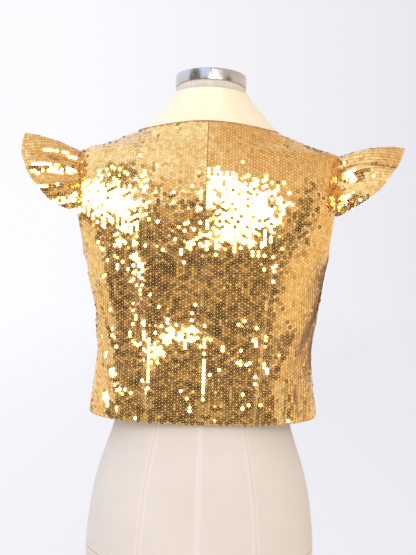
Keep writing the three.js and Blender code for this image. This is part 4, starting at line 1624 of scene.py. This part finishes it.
@dataclass
class DressForm:
    """The linen-covered body, its neck cap and the cap's bare plate."""

    cloth: Cloth
    finishes: Finishes
    columns: int = 336
    neck_levels: int = 16
    rest_gap: float = 0.5
    rest_gap_at_centres: float = 2.2
    shoulder_start: float = 172
    shoulder_round: float = 14
    princess_turn: float = 0.365
    centre_seam: float = 0.15
    side_seam: float = 0.62
    seam_width: float = 1.4
    seam_spread: float = 2.6
    seam_spread_height: float = 110
    welt_width: float = 4.2
    welt_relief: float = 0.45
    seam_relief: float = 0.55
    hip_seam_middle: float = 70
    hip_seam_rise: float = 27
    hip_seam_width: float = 1.5
    hip_welt_width: float = 3.6
    relief_low: float = 8
    relief_high: float = 690
    relief_fade: float = 20
    cap_radius: float = 54.7
    cap_height: float = 18.5
    cap_insets: tuple[tuple[float, float], ...] = ((2.4, 0.0), (1.2, -0.7), (20.0, 0.9), (20.0, 0.8))
    plate_width: float = 22
    plate_height: float = 15
    plate_wall: float = 0.7
    plate_across: float = -12
    plate_foot: float = 1.8

    def build(self) -> None:
        """Builds and dresses the form."""
        for piece, finish, slot, node in (
            (self.body(), self.finishes.linen, "linen", "form_body"),
            (self.cap(), self.finishes.metal, "polished_metal", "neck_cap"),
            (self.plate(), self.finishes.metal, "polished_metal", "cap_plate"),
        ):
            dress(piece, finish)
            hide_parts(node)
            LOG.info("%s: built", node)

    def shoulder_ring(self, turn: np.ndarray, height: float) -> np.ndarray:
        """Places one ring of the shoulders, under the coat and rounded at its ends.

        Args:
            turn: The ring's turns.
            height: Its height on the coat.

        Returns:
            Its points.
        """
        level = np.full_like(turn, float(height))
        facing = np.cos(turn * math.pi / 2) ** 2
        gap = self.rest_gap + (self.rest_gap_at_centres - self.rest_gap) * facing
        ring = self.cloth.skin.point(turn, level)
        ring = ring - self.cloth.skin.normal(turn, level) * (PANEL_WALL + gap)[:, None]
        past = np.maximum(np.abs(ring[:, 0]) - self.shoulder_start, 0)
        rounded = self.shoulder_start + self.shoulder_round * np.tanh(past / self.shoulder_round)
        ring[:, 0] = np.where(past > 0, np.sign(ring[:, 0]) * rounded, ring[:, 0])
        return ring

    def levels(self, turn: np.ndarray) -> np.ndarray:
        """Places the body's rings, from the underside to the neck.

        Args:
            turn: Each ring's turns.

        Returns:
            The rings' points, ring by ring.
        """
        body = BodySkin(FORM_RINGS)
        # The underside's rounded edge, the foot, close levels at the hip seam, and the rest.
        spans = [np.linspace(*span) for span in ((12, 60, 13), (63, 108, 31), (112, 682, 96))]
        heights = np.concatenate([[0, 1, 2, 3, 6], *spans])
        rings = [body.point(turn, np.full_like(turn, height)) for height in heights]
        rings += [self.shoulder_ring(turn, height) for height in FORM_SHOULDER_HEIGHTS]
        neck = BodySkin(FORM_NECK_RINGS)
        neck_heights = np.linspace(FORM_NECK_RINGS[0].height, FORM_NECK_RINGS[-1].height, self.neck_levels)
        tilts = np.interp(neck_heights, [ring.height for ring in FORM_NECK_RINGS], FORM_NECK_TILTS)
        for height, tilt in zip(neck_heights, tilts):
            ring = neck.point(turn, np.full_like(turn, height))
            ring[:, 2] += tilt * ring[:, 1] * math.tan(NECK_TILT)
            rings.append(ring)
        return np.stack(rings)

    def seams(self, rings: np.ndarray, turn: np.ndarray) -> tuple[np.ndarray, np.ndarray]:
        """Marks the seams at the centres, the princess lines, the sides and the hip.

        Args:
            rings: The body's points, ring by ring.
            turn: Each ring's turns.

        Returns:
            How far each point lies in a seam's line and in its welt, from 0 to 1.
        """
        height = rings[..., 2]
        spacing = np.linalg.norm(np.roll(rings, -1, 1) - rings, axis=-1)
        seam = np.zeros(rings.shape[:2])
        welt = np.zeros(rings.shape[:2])
        low = np.clip((self.seam_spread_height - height) / self.seam_spread_height, 0, 1)
        width = self.seam_width + self.seam_spread * low
        for line in (0, self.princess_turn, 1, 2 - self.princess_turn, 2):
            off = np.abs(np.abs(turn) - line) * self.columns / 4
            off = off[None, :] * spacing
            strength = self.centre_seam if line in (0, 2) else self.side_seam
            seam = np.maximum(seam, strength * np.exp(-((off / width) ** 2)))
            welt = np.maximum(welt, np.exp(-((off / self.welt_width) ** 4)))
        side = np.abs(np.sin(turn * math.pi / 2))[None, :]
        hip = np.abs(height - self.hip_seam_middle - self.hip_seam_rise * side**3)
        seam = np.maximum(seam, np.exp(-((hip / self.hip_seam_width) ** 2)))
        welt = np.maximum(welt, np.exp(-((hip / self.hip_welt_width) ** 4)))
        return seam, welt

    def body(self) -> bpy.types.Object:
        """Builds the body's linen with its welted seams.

        Returns:
            The linen as a closed piece.
        """
        turn = np.linspace(-2, 2, self.columns + 1)[:-1]
        rings = self.levels(turn)
        seam, welt = self.seams(rings, turn)
        outward = unit(np.cross(np.gradient(rings, axis=0), np.roll(rings, -1, 1) - np.roll(rings, 1, 1)))
        height = rings[..., 2]
        near_ends = np.clip((height - self.relief_low) / self.relief_fade, 0, 1)
        near_ends = near_ends * np.clip((self.relief_high - height) / self.relief_fade, 0, 1)
        relief = (self.welt_relief * welt - self.seam_relief * seam) * near_ends
        flat = (rings + outward * relief[..., None]).reshape(-1, 3)
        index = np.arange(len(flat)).reshape(rings.shape[:2])
        onward = np.roll(index, -1, axis=1)
        centres = np.stack([flat[index[0]].mean(axis=0), flat[index[-1]].mean(axis=0)])
        first = len(flat)
        under = np.stack([onward[0], index[0], np.full(self.columns, first)], axis=-1)
        top = np.stack([index[-1], onward[-1], np.full(self.columns, first + 1)], axis=-1)
        flat = np.concatenate([flat, centres])
        triangles = np.concatenate([band_triangles(index), under, top])
        values = {
            word: np.concatenate([numbers.ravel(), np.zeros(2)])
            for word, numbers in (("seam", seam), ("welt", welt))
        }
        return mesh_piece("form_linen", flat, facing_out(flat, triangles), values=values)

    def cap_place(self) -> Matrix:
        """Where the tilted cap sits on the neck, in metres."""
        seat = Matrix.Translation((0, 0, (NECK_TOP_HEIGHT + SEAM_GAP) * MM))
        return seat @ Matrix.Rotation(NECK_TILT, 4, "X")

    def cap(self) -> bpy.types.Object:
        """Builds the round metal cap, with rounded rims and a groove round its low crown.

        Returns:
            The cap, in its place.
        """
        bpy.ops.object.select_all(action="DESELECT")
        bpy.ops.mesh.primitive_cylinder_add(
            vertices=160, radius=self.cap_radius * MM, depth=self.cap_height * MM,
            location=(0, 0, self.cap_height * MM / 2),
        )
        cap = bpy.context.active_object
        cap.name = "cap_metal"
        bpy.ops.object.transform_apply(location=True, rotation=True, scale=True)
        self.select_faces(cap, lambda face: face.normal.z > 0.9)
        for width, rise in self.cap_insets:
            bpy.ops.mesh.inset(thickness=width * MM, depth=rise * MM)
        bpy.ops.object.mode_set(mode="OBJECT")
        bevel_edges(cap, width=0.9, segments=4, angle=50)
        bpy.ops.object.shade_smooth_by_angle(angle=SMOOTH_ANGLE)
        cap.data.transform(self.cap_place())
        return cap

    def plate(self) -> bpy.types.Object:
        """Builds the small bare plate, bent to the band.

        Returns:
            The plate, in its place.
        """
        bpy.ops.object.select_all(action="DESELECT")
        bpy.ops.mesh.primitive_cube_add(size=1, location=(0, 0, 0))
        plate = bpy.context.active_object
        plate.name = "cap_plate_metal"
        plate.scale = (self.plate_width * MM, self.plate_wall * MM, self.plate_height * MM)
        bpy.ops.object.transform_apply(location=True, rotation=True, scale=True)
        bevel_edges(plate, width=0.3, segments=2, angle=30)
        bpy.ops.object.mode_set(mode="EDIT")
        bpy.ops.mesh.select_all(action="SELECT")
        bpy.ops.mesh.subdivide(number_cuts=9)
        bpy.ops.object.mode_set(mode="OBJECT")
        middle = math.asin(self.plate_across / self.cap_radius)
        seat = self.cap_radius + SEAM_GAP + self.plate_wall / 2
        for vertex in plate.data.vertices:
            angle = middle + vertex.co.x / (self.cap_radius * MM)
            radius = seat * MM + vertex.co.y
            height = vertex.co.z + (self.plate_foot + self.plate_height / 2) * MM
            vertex.co = Vector((radius * math.sin(angle), radius * math.cos(angle), height))
        bpy.ops.object.mode_set(mode="EDIT")
        bpy.ops.mesh.select_all(action="SELECT")
        bpy.ops.mesh.normals_make_consistent(inside=False)
        bpy.ops.object.mode_set(mode="OBJECT")
        bpy.ops.object.shade_smooth_by_angle(angle=SMOOTH_ANGLE)
        plate.data.transform(self.cap_place())
        return plate

    @staticmethod
    def select_faces(piece: bpy.types.Object, wanted: Callable[[bpy.types.MeshPolygon], bool]) -> None:
        """Leaves a piece in edit mode with only the wanted faces selected.

        Args:
            piece: The piece.
            wanted: Says whether a face is wanted.
        """
        bpy.ops.object.mode_set(mode="EDIT")
        bpy.ops.mesh.select_mode(type="FACE")
        bpy.ops.mesh.select_all(action="DESELECT")
        bpy.ops.object.mode_set(mode="OBJECT")
        for face in piece.data.polygons:
            face.select = wanted(face)
        bpy.ops.object.mode_set(mode="EDIT")


@dataclass(frozen=True)
class SoftBox:
    """A studio light: where it stands, its size in metres, radiance, colour and roll in degrees."""

    name: str
    azimuth: float
    height: float
    distance: float
    width: float
    tall: float
    radiance: float
    colour: Colour
    in_gloss: bool
    roll: float = 0.0


@dataclass(frozen=True)
class DarkCorner:
    """A dark part of the room: its direction, and the angles off it that are darkest and clear."""

    direction: Colour
    darkest: float
    clear: float


class Studio:
    """The pale floor and backdrop, the lights and the camera, in metres but for the backdrop."""

    LIGHTS = (
        SoftBox("left softbox", 61, 1.01, 2.2, 1.95, 1.1, 9.0, (1.0, 0.98, 0.95), True),
        SoftBox("right softbox", -15, 1.22, 2.6, 1.6, 1.25, 9.0, (1.0, 0.98, 0.95), True, -16),
        SoftBox("left fill", 62, 1.1, 2.4, 1.2, 1.2, 2.2, (1.0, 0.99, 0.98), False),
        SoftBox("back fill", -28, 1.2, 2.6, 1.0, 1.0, 5.6, (1.0, 0.98, 0.95), False),
        SoftBox("low fill", -4, 0.16, 2.6, 1.0, 0.6, 7.0, (1.0, 0.97, 0.94), False),
    )
    DARK_CORNERS = (
        DarkCorner((-0.36, 0.90, -0.26), 21, 33),
        DarkCorner((0.27, 0.93, -0.26), 20, 34),
        DarkCorner((-0.86, 0.50, 0.10), 10, 18),
        DarkCorner((0.78, 0.52, -0.35), 22, 37),
        DarkCorner((0.78, 0.54, 0.30), 15, 25),
        DarkCorner((0.30, 0.94, 0.12), 8, 17),
    )
    CORNER_DARK = (0.05, 0.03, 0.02)
    CORNER_PALE = (0.68, 0.55, 0.40)
    WALL_RIGHT = (1.0, 0.90, 0.82)
    WALL_RIGHT_HIGH = (0.80, 0.68, 0.60)
    WALL_LEFT = (1.04, 1.04, 1.04)
    WALL_LEFT_HIGH = (1.08, 1.28, 1.75)
    SEEN_ROOM = (0.90, 0.90, 0.93)
    PAPER_LIT = (0.965, 0.965, 1.0)
    PAPER_SHADED = (0.79, 0.79, 0.835)
    SWEEP_BACK = -7000.0
    SWEEP_FRONT = 6000.0
    SWEEP_TOP = 7000.0
    SWEEP_HALF = 7000.0
    SWEEP_RADIUS = 1500.0
    SWEEP_STEPS = 17
    SHADE_ACROSS = -0.45
    SHADE_MIDDLE = 0.5
    SHADE_HEIGHT = 0.3
    SHADE_LOW = 0.9
    AIM = Vector((0.0, 0.0, 0.52))
    SENSOR_HEIGHT = 24.0
    CAMERA_DISTANCE = 2.4
    CAMERA_HEIGHT = 0.520
    FRAME_HEIGHT = 0.860
    AIM_HEIGHT = 0.508
    AIM_ACROSS = -0.0028
    YAW = math.radians(1.5)
    ROLL = math.radians(1.5)

    def build(self) -> None:
        """Builds the whole studio."""
        self.world()
        self.sweep()
        for light in self.LIGHTS:
            self.light(light)
        self.camera()
        bpy.context.scene.view_settings.view_transform = "Standard"

    def shade_cap(self, pieces: Sequence[bpy.types.Object]) -> None:
        """Keeps the left softbox off the cap's metal, as a flag would.

        Args:
            pieces: The metal's pieces.
        """
        kept_off = bpy.data.collections.new("behind the flag")
        for piece in pieces:
            kept_off.objects.link(piece)
        for item in kept_off.collection_objects:
            item.light_linking.link_state = "EXCLUDE"
        bpy.data.objects["left softbox"].light_linking.receiver_collection = kept_off

    def world(self) -> None:
        """Builds a pale room all round, with dark cluttered corners behind and beside the camera."""
        world = bpy.data.worlds.new("studio room")
        world.use_nodes = True
        kit = NodeKit(world.node_tree)
        place = kit.place("Generated")
        shade = 0.0
        for corner in self.DARK_CORNERS:
            toward = kit.add("ShaderNodeVectorMath", operation="DOT_PRODUCT")
            toward.inputs[1].default_value = corner.direction
            kit.link(place, toward.inputs[0])
            clear, darkest = (math.cos(math.radians(angle)) for angle in (corner.clear, corner.darkest))
            shade = kit.math("MAXIMUM", kit.smooth_step(toward.outputs["Value"], clear, darkest), shade)
        clutter = kit.noise(place, scale=13.0, detail=5.0, roughness=0.75)
        things = kit.smooth_step(clutter, low=0.48, high=0.55)
        dark = kit.blend(things, self.CORNER_DARK, self.CORNER_PALE)
        across, _, up = kit.split(place)
        high = kit.smooth_step(up, low=0.1, high=0.6)
        right = kit.blend(high, self.WALL_RIGHT, self.WALL_RIGHT_HIGH)
        left = kit.blend(high, self.WALL_LEFT, self.WALL_LEFT_HIGH)
        walls = kit.blend(kit.smooth_step(across, low=-0.45, high=0.55), right, left)
        room = kit.blend(shade, walls, dark)
        ray = kit.add("ShaderNodeLightPath")
        seen = kit.blend(ray.outputs["Is Camera Ray"], room, self.SEEN_ROOM)
        kit.link(seen, world.node_tree.nodes["Background"].inputs[0])
        bpy.context.scene.world = world

    def sweep(self) -> None:
        """Builds one pale sheet that is the floor and curves up behind the part, glowing with painted light
        and painted shade.
        """
        radius = self.SWEEP_RADIUS
        bend = [
            (self.SWEEP_BACK + radius - radius * math.sin(angle), radius - radius * math.cos(angle))
            for angle in np.linspace(0, math.pi / 2, self.SWEEP_STEPS)
        ]
        profile = [(self.SWEEP_FRONT, 0.0), *bend, (self.SWEEP_BACK, self.SWEEP_TOP)]
        points = np.array([[x, y, z] for y, z in profile for x in (-self.SWEEP_HALF, self.SWEEP_HALF)])
        index = np.arange(len(profile) - 1) * 2
        faces = np.stack([index, index + 1, index + 3, index + 2], axis=-1)
        sweep = mesh_piece("studio_sweep", points, faces)
        # The paper glows as painted light, with painted shade darker towards -X and near the floor.
        material, kit, shader = new_material(
            "Studio paper", Base_Color=(0.1, 0.1, 0.1, 1), Roughness=0.9, Specular_IOR_Level=0.0,
            Emission_Strength=0.93,
        )
        across, _, up = kit.split(kit.place())
        slope = kit.math("ADD", kit.math("MULTIPLY", across, self.SHADE_ACROSS), self.SHADE_MIDDLE)
        low = kit.math("SUBTRACT", self.SHADE_HEIGHT, up, clamp=True)
        corner = kit.math("ADD", slope, kit.math("MULTIPLY", low, self.SHADE_LOW), clamp=True)
        kit.link(kit.blend(corner, self.PAPER_LIT, self.PAPER_SHADED), shader.inputs["Emission Color"])
        sweep.data.materials.append(material)
        sweep.visible_glossy = False

    def light(self, box: SoftBox) -> None:
        """Adds one soft box, turned to the part.

        Args:
            box: The light.
        """
        data = bpy.data.lights.new(box.name, "AREA")
        data.shape = "RECTANGLE"
        data.size = box.width
        data.size_y = box.tall
        data.energy = box.radiance * math.pi * box.width * box.tall
        data.color = box.colour
        lamp = bpy.data.objects.new(box.name, data)
        angle = math.radians(box.azimuth)
        lamp.location = (math.sin(angle) * box.distance, math.cos(angle) * box.distance, box.height)
        turn_to(lamp, self.AIM, math.radians(box.roll))
        lamp.visible_glossy = box.in_gloss
        lamp.visible_diffuse = not box.in_gloss
        lamp.visible_camera = False
        bpy.context.scene.collection.objects.link(lamp)

    def camera(self) -> None:
        """Adds the photograph's view: level, from behind, a little to the right and rolled a little."""
        data = bpy.data.cameras.new("camera")
        data.sensor_fit = "VERTICAL"
        data.sensor_height = self.SENSOR_HEIGHT
        data.lens = self.SENSOR_HEIGHT * self.CAMERA_DISTANCE / self.FRAME_HEIGHT
        data.shift_y = (self.AIM_HEIGHT - self.CAMERA_HEIGHT) / self.FRAME_HEIGHT
        camera = bpy.data.objects.new("camera", data)
        aim = Vector((self.AIM_ACROSS, 0, self.CAMERA_HEIGHT))
        camera.location = Vector((-math.sin(self.YAW), math.cos(self.YAW), 0)) * self.CAMERA_DISTANCE + aim
        turn_to(camera, aim, self.ROLL)
        bpy.context.scene.collection.objects.link(camera)
        bpy.context.scene.camera = camera


def turn_to(item: bpy.types.Object, aim: Vector, roll: float) -> None:
    """Points a light or the camera at a place.

    Args:
        item: The light or camera.
        aim: The place, in metres.
        roll: How far it is rolled about its line of sight, in radians.
    """
    turned = (aim - item.location).to_track_quat("-Z", "Y").to_matrix()
    item.rotation_euler = (turned @ Matrix.Rotation(roll, 3, "Z")).to_euler()


def main() -> None:
    """Builds the studio, the form and the waistcoat in order, and reports the form's and the waistcoat's
    pieces.
    """
    logging.basicConfig(level=logging.INFO, format="%(name)s: %(message)s")
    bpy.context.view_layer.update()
    random = np.random.default_rng(SEED)
    studio = Studio()
    studio.build()
    finishes = Finishes()
    cloth = Cloth()
    DressForm(cloth, finishes).build()
    studio.shade_cap([bpy.data.objects["cap_metal"], bpy.data.objects["cap_plate_metal"]])
    for half in Half:
        for side in Side:
            Panel(cloth, side, half, finishes).build(random)
    for side in Side:
        FlutterSleeve(cloth, side, finishes).build(random)
    StandCollar(cloth, finishes).build()


if __name__ == "__main__":
    main()
